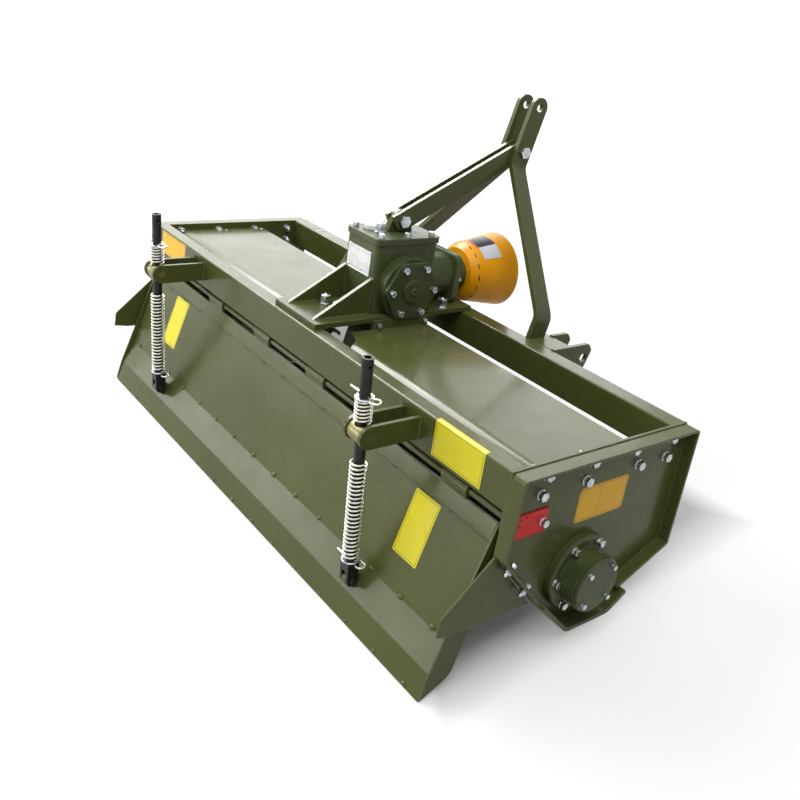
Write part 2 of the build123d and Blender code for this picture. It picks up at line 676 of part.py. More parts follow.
# Side shields
def side_shield():
    rear = (SIDE_REAR - SHIELD_REAR, SIDE_REAR_LOW)
    plate = outline(rear, SHIELD_TAIL, SHIELD_LOW_TAIL, (SHIELD_LOW_TAIL[0] + SHIELD_FOOT, SHIELD_BOTTOM),
                    (SKID_TAIL[0] - SKID_THICK, SHIELD_BOTTOM))
    return slab(plate, SIDE_OUTER - SHIELD_SHEET, SIDE_OUTER) - side_plate()


def flat_face(*points):
    return Face(Wire.make_polygon(points))


# Spring rods
def rod_axis():
    """The rod's pin, its unit direction and its length to the top, in the side view."""
    pin, trunnion = Vector(ROD_PIN_Y, ROD_PIN_Z), Vector(TRUNNION_Y, TRUNNION_Z)
    direction = (trunnion - pin).normalized()
    return pin, direction, (ROD_TOP_Z - ROD_PIN_Z) / direction.Y


def on_rod(height):
    """A location on the rod at a height, with local z along the rod."""
    pin, direction, _ = rod_axis()
    y = pin.X + direction.X * (height - pin.Y) / direction.Y
    return Plane(origin=(ROD_X, y, height), x_dir=(1, 0, 0), z_dir=(0, direction.X, direction.Y))


def rod_tube(radius, low, high):
    """A round piece along the rod between two heights."""
    _, direction, _ = rod_axis()
    return extrude(on_rod(low) * Circle(radius), amount=(high - low) / direction.Y)


def spring_rod():
    foot = SPRING_FOOT - ROD_COLLAR
    rod = rod_tube(ROD_RADIUS, foot - ROD_COLLAR, ROD_TOP_Z) - rod_tube(ROD_BORE, foot + ROD_SOLID, ROD_TOP_Z)
    rod -= on_rod(ROD_TOP_Z - ROD_TOP_HOLE_DEPTH) * Rot(Y=90) * Cylinder(ROD_TOP_HOLE, 4 * ROD_RADIUS)
    collar_radius = SPRING_RADIUS + SPRING_WIRE
    upper = UPPER_SPRING_TOP + RUN_CLEAR
    rod += rod_tube(collar_radius, upper, upper + ROD_COLLAR)
    rod += rod_tube(collar_radius, SPRING_FOOT - ROD_COLLAR, SPRING_FOOT)
    half = CLEVIS_GAP / 2 + CLEVIS_PLATE
    reach = foot - ROD_PIN_Z
    at_pin = on_rod(ROD_PIN_Z)
    fork = at_pin * Pos(Z=reach / 2) * Box(2 * half, CLEVIS_WIDTH, reach)
    fork += at_pin * Rot(Y=90) * Cylinder(CLEVIS_WIDTH / 2, 2 * half)
    fork -= at_pin * Pos(Z=CLEVIS_SLOT / 2 - CLEVIS_WIDTH) * Box(
        CLEVIS_GAP, 2 * CLEVIS_WIDTH, CLEVIS_SLOT + 2 * CLEVIS_WIDTH)
    reach = half + CLEVIS_PLATE
    pin = along_x(CLEVIS_PIN, ROD_X - reach, ROD_X + reach, (ROD_PIN_Y, ROD_PIN_Z))
    return rod + fork + pin


def spring(low, high, turns):
    """A coil of square wire between two heights on the rod, in straight steps, with closed end turns."""
    _, direction, _ = rod_axis()
    length = (high - low) / direction.Y - SPRING_WIRE
    closed = SPRING_WIRE + SPRING_END_GAP
    open_pitch = (length - 2 * closed) / (turns - 2)
    corners = []
    for step in range(turns * SPRING_STEPS + 1):
        turn = step / SPRING_STEPS
        in_ends = min(turn, 1) + max(turn - turns + 1, 0)
        rise = closed * in_ends + open_pitch * (turn - in_ends)
        across = Vector(cos(radians(360 * turn)), sin(radians(360 * turn)), 0)
        inside, outside = across * SPRING_RADIUS, across * (SPRING_RADIUS + SPRING_WIRE)
        low_z, high_z = Vector(0, 0, rise), Vector(0, 0, rise + SPRING_WIRE)
        corners.append([inside + low_z, outside + low_z, outside + high_z, inside + high_z])
    faces = [flat_face(*corners[0]), flat_face(*corners[-1])]
    for before, after in zip(corners, corners[1:]):
        for side in range(4):
            a, b = before[side], before[side - 1]
            c, d = after[side], after[side - 1]
            faces += [flat_face(a, b, c), flat_face(b, d, c)]
    return on_rod(low) * Solid(Shell(faces))


def trunnion():
    place = (TRUNNION_Y, TRUNNION_Z)
    half = ARM_GAP / 2 - RUN_CLEAR
    reach = ARM_GAP / 2 + ARM_PLATE
    body = along_x(TRUNNION_RADIUS, ROD_X - half, ROD_X + half, place)
    body += along_x(TRUNNION_PIN, ROD_X - reach, ROD_X + reach, place)
    room = TRUNNION_RADIUS * 2
    return body - rod_tube(ROD_RADIUS + ROD_SLACK, TRUNNION_Z - room, TRUNNION_Z + room)


def rod_arms():
    place = (TRUNNION_Y, TRUNNION_Z)
    half = ARM_HEIGHT / 2
    root = oblong(REAR_BEAM_REAR - ARM_PLATE, TRUNNION_Z - half, REAR_BEAM_REAR, TRUNNION_Z + half)
    shape = make_hull(root.edges() + disc(half, place).edges()) - disc(TRUNNION_PIN + RUN_CLEAR, place)
    inner = slab(shape, ROD_X - ARM_GAP / 2 - ARM_PLATE, ROD_X - ARM_GAP / 2)
    outer = slab(shape, ROD_X + ARM_GAP / 2, ROD_X + ARM_GAP / 2 + ARM_PLATE)
    return Compound([inner, outer, mirrored(inner), mirrored(outer)])


def parking_pitch():
    """How far the machine tips forward until it stands on its lip and its skids' front knees."""
    lip, fold = Vector(*APRON_LIP), Vector(*APRON_OUTER_FOLD)
    run = (lip - fold).normalized()
    heel = lip + Vector(-run.Y, run.X) * APRON_SHEET
    rise = atan2(SKID_TIP[1] - SKID_BOTTOM, SKID_TIP[0] - SKID_KNEE)
    centre = Vector(SKID_KNEE - SKID_BEND * tan(rise / 2), SKID_BOTTOM + SKID_BEND)
    reach = centre - heel
    return degrees(atan2(reach.Y, reach.X) - asin(SKID_BEND / reach.length))


def build():
    frame = {
        "rear_beam": beam(REAR_BEAM_REAR, REAR_BEAM_DEPTH, REAR_BEAM_HEIGHT),
        "front_beam": beam(FRONT_BEAM_REAR, FRONT_BEAM_DEPTH, FRONT_BEAM_HEIGHT),
        "end_plates": pair(end_plate()),
        "bearing_caps": pair(bearing_cap()),
        "drive_case": drive_case(),
        "gearbox_base": gearbox_base(),
        "gearbox_housing": gearbox_housing(),
        "gearbox_top_cover": top_cover(),
        "filler_plug": filler_plug(),
        "gearbox_side_covers": pair(side_cover()),
        "input_bearing": input_bearing(),
        "pto_guard": pto_guard(),
        "top_lug": top_lug(),
        "stays": pair(stay()),
        "stay_bolts": stay_bolts(),
        "hinge_rod": hinge_rod(),
        "rod_arms": rod_arms(),
        "side_shields": pair(side_shield()),
        "rotor_axle": rotor_axle(),
        "input_shaft": input_shaft(),
        "apron_panel": apron_panel(),
        "apron_hinge": apron_hinge(),
        "apron_ends": pair(apron_end()),
        "rod_lugs": pair(rod_lug()),
    }
    sided = {
        "side_plate": side_plate(),
        "skid": skid(),
        "bearing_housing": bearing_housing(),
        "hood": hood(),
        "mast_bar": mast_bar(),
        "hitch_bracket": hitch_bracket(),
        "rotor": rotor_half(),
        "spring_rod": spring_rod(),
        "lower_spring": spring(SPRING_FOOT, SPRING_TOP, SPRING_TURNS),
        "upper_spring": spring(UPPER_SPRING_FOOT, UPPER_SPRING_TOP, UPPER_SPRING_TURNS),
        "rod_trunnion": trunnion(),
    }
    for name, piece in sided.items():
        frame[f"{name}_right"] = piece
        frame[f"{name}_left"] = mirrored(piece)
    return frame


def main():
    nodes = build()
    pitch = parking_pitch()
    tipped = {name: Rot(X=-pitch) * piece for name, piece in nodes.items()}
    boxes = [piece.bounding_box() for piece in tipped.values()]
    rear, front = min(box.min.Y for box in boxes), max(box.max.Y for box in boxes)
    stand = Pos(Y=-(rear + front) / 2, Z=-min(box.min.Z for box in boxes))
    os.makedirs("parts", exist_ok=True)
    for name, piece in tipped.items():
        export_step(stand * piece, f"parts/{name}.step")
    print("pitch", round(pitch, 5), "shift", round(stand.position.Y, 4), round(stand.position.Z, 4))
    height = max(box.max.Z for box in boxes) + stand.position.Z
    print("length", round(front - rear, 2), "height", round(height, 2))


main()
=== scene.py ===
# %% [markdown]
# # Dressing a rotary tiller
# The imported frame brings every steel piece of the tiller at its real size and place. This lesson gives
# those pieces their paint, and adds what a fitter would add last: bolts and nuts, coil springs, wire clips,
# tack welds, films and plates. Nothing here moves or resizes the frame. Each step first says what the piece
# is on the real machine, how it could be made, and why it is made this way.

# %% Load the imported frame
import json
from math import atan2, cos, degrees, pi, radians, sin

import bpy
from mathutils import Matrix, Vector


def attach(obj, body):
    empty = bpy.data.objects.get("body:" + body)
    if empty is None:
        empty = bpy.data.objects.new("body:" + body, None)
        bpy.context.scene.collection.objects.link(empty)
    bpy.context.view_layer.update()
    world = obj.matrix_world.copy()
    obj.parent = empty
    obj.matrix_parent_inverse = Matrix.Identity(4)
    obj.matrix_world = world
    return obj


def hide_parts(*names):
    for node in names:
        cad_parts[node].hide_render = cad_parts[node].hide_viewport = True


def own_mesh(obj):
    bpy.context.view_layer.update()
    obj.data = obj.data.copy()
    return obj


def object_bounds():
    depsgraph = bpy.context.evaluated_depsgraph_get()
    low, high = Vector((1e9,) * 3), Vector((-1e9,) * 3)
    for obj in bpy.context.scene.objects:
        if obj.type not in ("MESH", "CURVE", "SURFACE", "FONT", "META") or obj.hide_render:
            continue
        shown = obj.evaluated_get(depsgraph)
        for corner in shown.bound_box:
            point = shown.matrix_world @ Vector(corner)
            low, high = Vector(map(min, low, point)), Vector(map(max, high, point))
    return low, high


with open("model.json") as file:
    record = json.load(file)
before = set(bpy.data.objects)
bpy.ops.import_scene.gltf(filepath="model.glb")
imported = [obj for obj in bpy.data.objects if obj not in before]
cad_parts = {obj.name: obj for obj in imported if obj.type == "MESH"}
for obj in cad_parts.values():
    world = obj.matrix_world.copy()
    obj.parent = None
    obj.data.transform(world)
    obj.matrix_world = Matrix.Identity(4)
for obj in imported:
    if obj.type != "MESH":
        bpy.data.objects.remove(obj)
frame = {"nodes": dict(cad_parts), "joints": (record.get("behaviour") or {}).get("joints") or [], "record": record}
cad_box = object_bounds()
nodes = frame["nodes"]
joints = {joint["name"]: joint for joint in frame["joints"]}
mounts = {mount["name"]: mount for mount in frame["record"]["mounts"]}

# %% [markdown]
# ## The level machine
# The tiller stands nose-down on its skids, so in the frame no row of bolts is level. Every place could be
# worked out in that tipped frame, but it is easier to model on a level machine, with the rotor's axis as
# the datum, x to the right, y towards the tractor and z up. The input shaft gives the tilt and the rotor's
# joint gives the datum, so one matrix takes a finished piece from the level machine to its stand.

# %% From the level machine to its stand
MM = 0.001
ACROSS = Vector((1, 0, 0))
FORWARD = Vector(mounts["pto_stub"]["axis"]).normalized()
UPWARD = ACROSS.cross(FORWARD)
DATUM = Vector((0, *joints["rotor_spin"]["pos_m"][1:]))
STANDING = Matrix.Translation(DATUM) @ Matrix((ACROSS, FORWARD, UPWARD)).transposed().to_4x4()
RIGHT, LEFT = Vector((1, 0, 0)), Vector((-1, 0, 0))
AHEAD, BEHIND = Vector((0, 1, 0)), Vector((0, -1, 0))
UP, DOWN = Vector((0, 0, 1)), Vector((0, 0, -1))
print("the machine stands tipped by", round(degrees(FORWARD.angle(AHEAD)), 2), "degrees")

# %% [markdown]
# ## The camera
# The photograph was taken from behind and to the right, a little above the hood. A Track To constraint
# would aim a camera at the machine, but it allows no roll, so the fitted turn is typed. A shifted lens
# keeps the uprights as the photograph shows them, because its picture was cut off centre.

# %% Place the camera
CAMERA_PLACE = (1.573, -1.1168, 1.2835)
CAMERA_TURN = (62.295, -0.775, 51.868)
LENS = 40.03
LENS_SHIFT = (-0.0426, -0.0704)
SENSOR_WIDTH = 36

bpy.ops.object.select_all(action="DESELECT")
bpy.ops.object.camera_add(location=CAMERA_PLACE, rotation=[radians(turn) for turn in CAMERA_TURN])
camera = bpy.context.active_object
camera.data.sensor_width = SENSOR_WIDTH
camera.data.lens = LENS
camera.data.shift_x, camera.data.shift_y = LENS_SHIFT
camera.data.dof.use_dof = False
bpy.context.scene.camera = camera
bpy.context.scene.view_settings.view_transform = "Standard"
print("camera", round((camera.location - DATUM).length, 2), "m from the rotor's middle")

# %% [markdown]
# ## The floor
# The machine stands on a pale floor that turns white around it. White could be had by pouring light on the
# floor, but the same light would wash out the paint. So the floor is a mid grey for the light that it
# throws back, and a glow that only the camera and reflections see lifts it to white. There is less glow near
# the machine than far off, so that the floor keeps the machine's shadow. Under the machine the glow is cut
# to a small share, which paints a darker shade on the floor there, beyond the shadow that the lamps cast.

# %% Lay the floor
FLOOR_SIZE = 60
FLOOR_GREY = (0.52, 0.52, 0.51, 1)
FLOOR_ROUGHNESS = 0.95
WHITE = (1, 1, 1, 1)
GLOW_NEAR, GLOW_FAR = 0.5, 1.0     # beside the machine, and where the lamps no longer reach
GLOW_START, GLOW_END = 1.4, 4.5
# painted shade: under the machine's footprint the floor's glow is cut to this share, and it comes back to full
# over the footprint's outer shares below
PAINTED_SHADE_GLOW = 0.1                   # share of it that is left under the machine
PAINTED_SHADE_START, PAINTED_SHADE_END = 0.84, 1.0  # shares of the frame's reach across and along


def socket_value(socket, value, tree):
    """Feed a socket: another node's output is linked, and a plain number or colour is set."""
    if isinstance(value, bpy.types.NodeSocket):
        tree.links.new(value, socket)
    else:
        socket.default_value = value


def add(tree, kind, inputs=None, **settings):
    """A shader node with its settings and its inputs, by socket name or number."""
    node = tree.nodes.new("ShaderNode" + kind)
    for name, value in settings.items():
        setattr(node, name, value)
    for name, value in (inputs or {}).items():
        socket_value(node.inputs[name], value, tree)
    return node


def calc(tree, operation, *values):
    """The output of one Math node."""
    node = add(tree, "Math", dict(enumerate(values)), operation=operation)
    return node.outputs[0]


def between(tree, value, low, high, start=0.0, end=1.0):
    """Stretch a value from low..high to start..end."""
    values = {"Value": value, "From Min": low, "From Max": high, "To Min": start, "To Max": end}
    return add(tree, "MapRange", values).outputs[0]


def seen_directly(tree):
    """1 for what the camera sees by itself, in a reflection or through glass, and 0 for light."""
    path = add(tree, "LightPath").outputs
    seen = calc(tree, "MAXIMUM", path["Is Camera Ray"], path["Is Glossy Ray"])
    return calc(tree, "MAXIMUM", seen, path["Is Transmission Ray"])


bpy.ops.object.select_all(action="DESELECT")
bpy.ops.mesh.primitive_plane_add(size=FLOOR_SIZE)
floor = bpy.context.active_object
floor.name = "floor"
floor_finish = bpy.data.materials.new("pale_floor")
floor_finish.use_nodes = True
tree = floor_finish.node_tree
matt = tree.nodes["Principled BSDF"]
matt.inputs["Base Color"].default_value = FLOOR_GREY
matt.inputs["Roughness"].default_value = FLOOR_ROUGHNESS
matt.inputs["Specular IOR Level"].default_value = 0.0
place = add(tree, "TexCoord").outputs["Object"]
away = add(tree, "VectorMath", {0: place}, operation="LENGTH").outputs["Value"]
shown = between(tree, away, GLOW_START, GLOW_END, GLOW_NEAR, GLOW_FAR)
footprint = add(tree, "SeparateXYZ", {0: place}).outputs
reach = [calc(tree, "DIVIDE", calc(tree, "ABSOLUTE", footprint[n]), cad_box[1][n]) for n in (0, 1)]
# painted shade under the machine: the glow falls to a small share inside the frame's footprint
under = between(tree, calc(tree, "MAXIMUM", *reach), PAINTED_SHADE_START, PAINTED_SHADE_END, PAINTED_SHADE_GLOW, 1.0)
shown = calc(tree, "MULTIPLY", calc(tree, "MULTIPLY", seen_directly(tree), shown), under)
glow = add(tree, "Emission", {"Color": WHITE, "Strength": shown})
both = add(tree, "AddShader", {0: matt.outputs[0], 1: glow.outputs[0]})
tree.links.new(both.outputs[0], tree.nodes["Material Output"].inputs["Surface"])
floor.data.materials.append(floor_finish)
print("floor", FLOOR_SIZE, "m square")

# %% [markdown]
# ## The lamps
# Gloss paint shows what is around it. A wide panel beyond the front left corner is what the hood mirrors,
# one overhead lights what faces up, one high on the left lights the apron, and a long low one behind picks
# out the apron's ledge. One bright sky would be simpler, but separate panels can each be moved for one
# surface. The bright line along the hood's bend is a card that only reflections see, so it lights no paint
# itself.

# %% Hang the lamps
SKY_LEVEL = 0.16
LAMPS = {
    "hood_panel": {"place": (-5.0, 3.8, 2.7), "aim": (0.0, 0.0, 0.35), "size": (6.5, 4.0), "power": 215},
    "overhead_panel": {"place": (1.3, -0.5, 4.3), "aim": (0.0, 0.0, 0.3), "size": (4.0, 4.0), "power": 140},
    "apron_lamp": {"place": (-2.6, -1.3, 3.1), "aim": (0.1, -0.2, 0.3), "size": (2.4, 2.6), "power": 92},
    "bend_card": {"place": (-3.1, 0.75, 3.5), "aim": (0.1, -0.1, 0.45), "size": (3.0, 2.2), "power": 440},
    "ledge_lamp": {"place": (-2.6, -3.6, 0.95), "aim": (0.0, -0.4, 0.1), "size": (3.6, 0.8), "power": 60},
}
REFLECTED_ONLY = {"bend_card"}

world = bpy.data.worlds.new("studio_sky")
bpy.context.scene.world = world
world.use_nodes = True
sky = world.node_tree.nodes["Background"]
sky.inputs["Color"].default_value = WHITE
level = between(world.node_tree, seen_directly(world.node_tree), 0, 1, SKY_LEVEL, 1)
world.node_tree.links.new(level, sky.inputs["Strength"])

for name, lamp in LAMPS.items():
    bpy.ops.object.select_all(action="DESELECT")
    bpy.ops.object.light_add(type="AREA", location=lamp["place"])
    light = bpy.context.active_object
    light.name = name
    light.data.shape = "RECTANGLE"
    light.data.size, light.data.size_y = lamp["size"]
    light.data.energy = lamp["power"]
    light.visible_camera = False
    light.visible_diffuse = name not in REFLECTED_ONLY
    aim = Vector(lamp["aim"]) - light.location
    light.rotation_euler = aim.to_track_quat("-Z", "Y").to_euler()
print(len(LAMPS), "lamps and a sky of", SKY_LEVEL)

# %% [markdown]
# ## Finishes
# The whole machine is sprayed in one gloss olive after assembly. Real sprayed sheet is never one flat
# colour: it has a slow drift of tone, a fine orange peel, dust on what faces up, and thin, bright edges
# where the coat has pulled back. Painted masks would need a UV map on each piece. Noise on Object
# coordinates needs none, and a Bevel node finds the edges on the frame's own meshes and rounds them as
# well.

# %% Small helpers for finishes
EDGE_FLAT, EDGE_SHARP = 0.995, 0.8     # how far a rounded normal agrees with the face's own
SLANTED, LEVEL = 0.35, 0.95            # a normal's height on a slanted and on a level face
NOISE_LOW, NOISE_HIGH = 0.3, 0.7       # where most of a noise lies


def srgb(red, green, blue):
    """A colour written as on a paint card, 0 to 255, for Blender's linear sockets."""
    linear = []
    for value in (red, green, blue):
        value = value / 255
        linear.append(value / 12.92 if value <= 0.04045 else ((value + 0.055) / 1.055) ** 2.4)
    return (*linear, 1)


def new_finish(name, **values):
    """A material whose plain values are set on the shader's own sockets."""
    finish = bpy.data.materials.new(name)
    finish.use_nodes = True
    shader = finish.node_tree.nodes["Principled BSDF"]
    for socket, value in values.items():
        shader.inputs[socket.replace("_", " ").title().replace("Ior", "IOR")].default_value = value
    return finish, finish.node_tree, shader


def noise(tree, scale, detail=3, roughness=0.5):
    """Noise over the piece's own coordinates, in cells per metre."""
    place = add(tree, "TexCoord").outputs["Object"]
    values = {"Vector": place, "Scale": scale, "Detail": detail, "Roughness": roughness}
    return add(tree, "TexNoise", values).outputs["Fac"]


def clouds(tree, scale, detail, start=0.0, end=1.0):
    """Noise that is stretched to fill its range."""
    return between(tree, noise(tree, scale, detail), NOISE_LOW, NOISE_HIGH, start, end)


def tint(tree, factor, first, second):
    """The mix of two colours."""
    return add(tree, "Mix", {0: factor, 6: first, 7: second}, data_type="RGBA").outputs[2]


def edges(tree, radius):
    """A rounded normal, and how far it leaves the face's own: 0 on a face and 1 on its edge."""
    rounded = add(tree, "Bevel", {"Radius": radius}, samples=4).outputs[0]
    flat = add(tree, "NewGeometry").outputs["True Normal"]
    along = add(tree, "VectorMath", {0: rounded, 1: flat}, operation="DOT_PRODUCT").outputs["Value"]
    return rounded, between(tree, along, EDGE_FLAT, EDGE_SHARP)


def facing_up(tree):
    """How far a face looks at the sky."""
    normal = add(tree, "NewGeometry").outputs["Normal"]
    height = add(tree, "SeparateXYZ", {0: normal}).outputs["Z"]
    return between(tree, height, SLANTED, LEVEL)


def bumped(tree, height, strength, distance, normal):
    """A normal with fine relief on it."""
    values = {"Strength": strength, "Distance": distance, "Height": height, "Normal": normal}
    return add(tree, "Bump", values).outputs[0]


def feed(tree, shader, paint, roughness, normal):
    """Wire a finish's colour, roughness and normal to its shader."""
    for name, value in (("Base Color", paint), ("Roughness", roughness), ("Normal", normal)):
        tree.links.new(value, shader.inputs[name])


print("helpers ready")

# %% [markdown]
# The sheet's paint is built up in the order in which it happened: the coat, the dust on it, the thin edges,
# and the few chips that go down to the primer. Each layer is one mix, with noise of its own size as the
# mask, so a layer can be taken out without touching the others.

# %% Sprayed olive sheet
OLIVE = srgb(87, 92, 47)
OLIVE_DEEP = srgb(78, 83, 40)
OLIVE_EDGE = srgb(150, 154, 124)
DUST = srgb(140, 138, 118)
PRIMER = srgb(150, 84, 44)


def sprayed_olive():
    """Gloss spray paint: drift of tone, orange peel, dust on top, thin edges with a few spots of primer."""
    finish, tree, shader = new_finish("olive_paint_gloss", coat_weight=0.1, coat_roughness=0.06,
                                      specular_ior_level=0.16)
    rounded, edge = edges(tree, radius=0.003)
    paint = tint(tree, between(tree, noise(tree, 2.6), 0.35, 0.65), OLIVE_DEEP, OLIVE)
    dusty = calc(tree, "MULTIPLY", facing_up(tree), between(tree, noise(tree, 7, 5), 0.42, 0.8, 0.0, 0.16))
    paint = tint(tree, dusty, paint, DUST)
    worn = calc(tree, "MULTIPLY", edge, between(tree, noise(tree, 24, 4), 0.32, 0.62, 0.1, 0.7))
    paint = tint(tree, worn, paint, OLIVE_EDGE)
    chipped = calc(tree, "MULTIPLY", edge, between(tree, noise(tree, 17, 2), 0.7, 0.73, 0.0, 0.7))
    paint = tint(tree, chipped, paint, PRIMER)
    smear = between(tree, noise(tree, 11, 6, 0.62), 0.3, 0.75, 0.2, 0.36)
    peel = bumped(tree, noise(tree, 420, 2), strength=0.05, distance=0.0006, normal=rounded)
    feed(tree, shader, paint, smear, peel)
    return finish


olive_paint = sprayed_olive()
print("sheet paint", olive_paint.name)

# %% [markdown]
# The gearbox and the bearings are sand castings under the same paint. The coat lies in thick, soft pools on
# a pebbled skin, so their bump is larger and slower, and their tone is a little darker and greener. The
# pebbles could be displaced in the mesh, but they stand out by less than a millimetre, so bump shows them.

# %% Painted castings
CAST_OLIVE = srgb(84, 94, 56)
CAST_DEEP = srgb(60, 70, 40)
CAST_POOLS = 1.6           # height of the slow pools against the fine pebbles


def cast_olive():
    """Paint on a sand casting: soft pools over pebbles, and worn edges."""
    finish, tree, shader = new_finish("olive_paint_cast", coat_weight=0.12, coat_roughness=0.14,
                                      specular_ior_level=0.16)
    rounded, edge = edges(tree, radius=0.004)
    paint = tint(tree, clouds(tree, 9, 4), CAST_DEEP, CAST_OLIVE)
    worn = calc(tree, "MULTIPLY", edge, between(tree, noise(tree, 30, 3), 0.4, 0.7, 0.0, 0.5))
    paint = tint(tree, worn, paint, OLIVE_EDGE)
    pools = calc(tree, "MULTIPLY", noise(tree, 28, 2), CAST_POOLS)
    skin = calc(tree, "ADD", noise(tree, 180, 4, 0.6), pools)
    skin = bumped(tree, skin, strength=0.16, distance=0.0012, normal=rounded)
    feed(tree, shader, paint, clouds(tree, 60, 4, 0.3, 0.5), skin)
    return finish


cast_paint = cast_olive()
print("casting paint", cast_paint.name)

# %% [markdown]
# Bare and plated steel: forged tines with scale and rubbed edges, zinc plate on the fasteners with its
# faint blue cast, paler zinc on the spring wire, yellow zinc on the trunnions, and black paint on the rods
# that has a satin, not a gloss, skin. The plated metals differ only in tone, cloud and roughness, so one
# function makes them all, and the tines and the rods have their own.

# %% Steel and black paint
TINE_SCALE, TINE_SCALE_DARK, TINE_RUBBED = srgb(86, 88, 66), srgb(58, 58, 46), srgb(140, 140, 132)
BLACK, BLACK_DEEP, BLACK_RUBBED = srgb(32, 33, 34), srgb(19, 20, 22), srgb(110, 110, 106)
BLACK_WEAR = 0.35


def plated(name, bright, dull, low, high, grain):
    """Plated or bare metal: a little cloudy, with its own roughness in patches."""
    finish, tree, shader = new_finish(name, metallic=1.0)
    rounded, _ = edges(tree, radius=0.0007)
    metal = tint(tree, clouds(tree, grain, 4), dull, bright)
    feed(tree, shader, metal, clouds(tree, 2 * grain, 2, low, high), rounded)
    return finish


def forged_steel():
    """A forging: patches of scale, and edges that are rubbed bright."""
    finish, tree, shader = new_finish("tine_steel_forged", metallic=0.55)
    rounded, edge = edges(tree, radius=0.0025)
    scale = tint(tree, between(tree, noise(tree, 40, 5), 0.35, 0.65), TINE_SCALE_DARK, TINE_SCALE)
    skin = bumped(tree, noise(tree, 160, 4), strength=0.2, distance=0.0008, normal=rounded)
    feed(tree, shader, tint(tree, edge, scale, TINE_RUBBED), clouds(tree, 90, 3, 0.38, 0.6), skin)
    return finish


def satin_black():
    """Black paint with a satin skin and greyed edges."""
    finish, tree, shader = new_finish("rod_paint_black", specular_ior_level=0.3)
    rounded, edge = edges(tree, radius=0.0015)
    paint = tint(tree, clouds(tree, 30, 4), BLACK_DEEP, BLACK)
    worn = calc(tree, "MULTIPLY", edge, BLACK_WEAR)
    skin = bumped(tree, noise(tree, 350, 2), strength=0.08, distance=0.0005, normal=rounded)
    feed(tree, shader, tint(tree, worn, paint, BLACK_RUBBED), clouds(tree, 70, 3, 0.36, 0.52), skin)
    return finish


zinc_plate = plated("zinc_plate_bolts", srgb(206, 211, 214), srgb(150, 157, 162), 0.22, 0.4, 120)
yellow_zinc = plated("trunnion_yellow_zinc", srgb(150, 142, 104), srgb(108, 104, 72), 0.3, 0.5, 80)
bright_steel = plated("bright_steel_bars", srgb(176, 176, 170), srgb(120, 120, 112), 0.25, 0.45, 60)
spring_zinc = plated("spring_wire_zinc", srgb(222, 221, 210), srgb(176, 174, 160), 0.3, 0.5, 200)
tine_steel = forged_steel()
black_paint = satin_black()
print("steels", zinc_plate.name, yellow_zinc.name, bright_steel.name, spring_zinc.name, tine_steel.name)

# %% [markdown]
# Plastics and films: the input guard is one moulding in warm yellow with handling scuffs, the filler plug
# is off-white, and the films are printed vinyl with a thin dark border and nothing else on them. All are
# one colour right through, so a scuff is only a duller shade of it, and one function with three shades of a
# colour serves for them all. The marker's red paint is thick enough to wear in the same way. The aluminium
# of the data plate is one more of the plated metals.

# %% Plastics, films and plate
SCUFF_SHARE = 0.45
RUB_SHARE = 0.3
FILM_DULL, FILM_SCUFF, FILM_SCUFF_BLUE = 0.94, 0.9, 0.95   # shares of a film's brightness
FILM_GRAIN = 40


def moulded(name, colour, shade, scuff, low, high, grain):
    """A moulded or filmed surface with a slow drift of tone and fine scuffs."""
    finish, tree, shader = new_finish(name, specular_ior_level=0.25)
    rounded, edge = edges(tree, radius=0.0012)
    body = tint(tree, clouds(tree, 8, 3), shade, colour)
    marks = calc(tree, "MULTIPLY", between(tree, noise(tree, grain, 6, 0.7), 0.6, 0.76), SCUFF_SHARE)
    body = tint(tree, marks, body, scuff)
    rubbed = tint(tree, calc(tree, "MULTIPLY", edge, RUB_SHARE), body, scuff)
    skin = bumped(tree, noise(tree, 300, 2), strength=0.05, distance=0.0004, normal=rounded)
    feed(tree, shader, rubbed, clouds(tree, grain, 3, low, high), skin)
    return finish


def film(name, red, green, blue, low=0.24, high=0.36):
    """Printed vinyl in one colour, with slightly duller patches and scuffs."""
    dull = srgb(red * FILM_DULL, green * FILM_DULL, blue * FILM_DULL)
    scuff = srgb(red * FILM_SCUFF, green * FILM_SCUFF, blue * FILM_SCUFF_BLUE)
    return moulded(name, srgb(red, green, blue), dull, scuff, low, high, FILM_GRAIN)


guard_plastic = moulded("guard_plastic_yellow", srgb(252, 172, 8), srgb(242, 160, 6), srgb(190, 120, 16),
                        0.32, 0.48, 30)
plug_plastic = moulded("plug_plastic_white", srgb(248, 249, 246), srgb(238, 240, 236), srgb(206, 208, 200),
                       0.3, 0.45, 60)
marker_red = moulded("marker_red_paint", srgb(234, 38, 28), srgb(216, 30, 22), srgb(170, 50, 40),
                     0.28, 0.42, 26)
film_lemon = film("film_lemon", 244, 230, 40)
film_amber = film("film_amber", 255, 196, 12)
film_white = film("film_white", 222, 224, 234)
film_ink_and_shade = film("film_ink_and_shade", 44, 44, 52)
film_line = film("film_line", 84, 74, 24)
film_coral = film("film_coral", 222, 96, 82)
film_green = film("film_green", 92, 168, 120)
film_grey = film("film_grey", 96, 102, 98)
plate_aluminium = plated("data_plate_aluminium", srgb(206, 208, 206), srgb(182, 184, 182), 0.36, 0.5, 80)
print("plastics and films ready")

# %% [markdown]
# ## Dress the frame
# Each piece of the frame names a material slot in its record. Finishes could be set piece by piece, but one
# table from slot to finish can forget none. The hinge rod was sprayed over with the rest, and the trunnions
# are passivated yellow, so those differ from their slots.

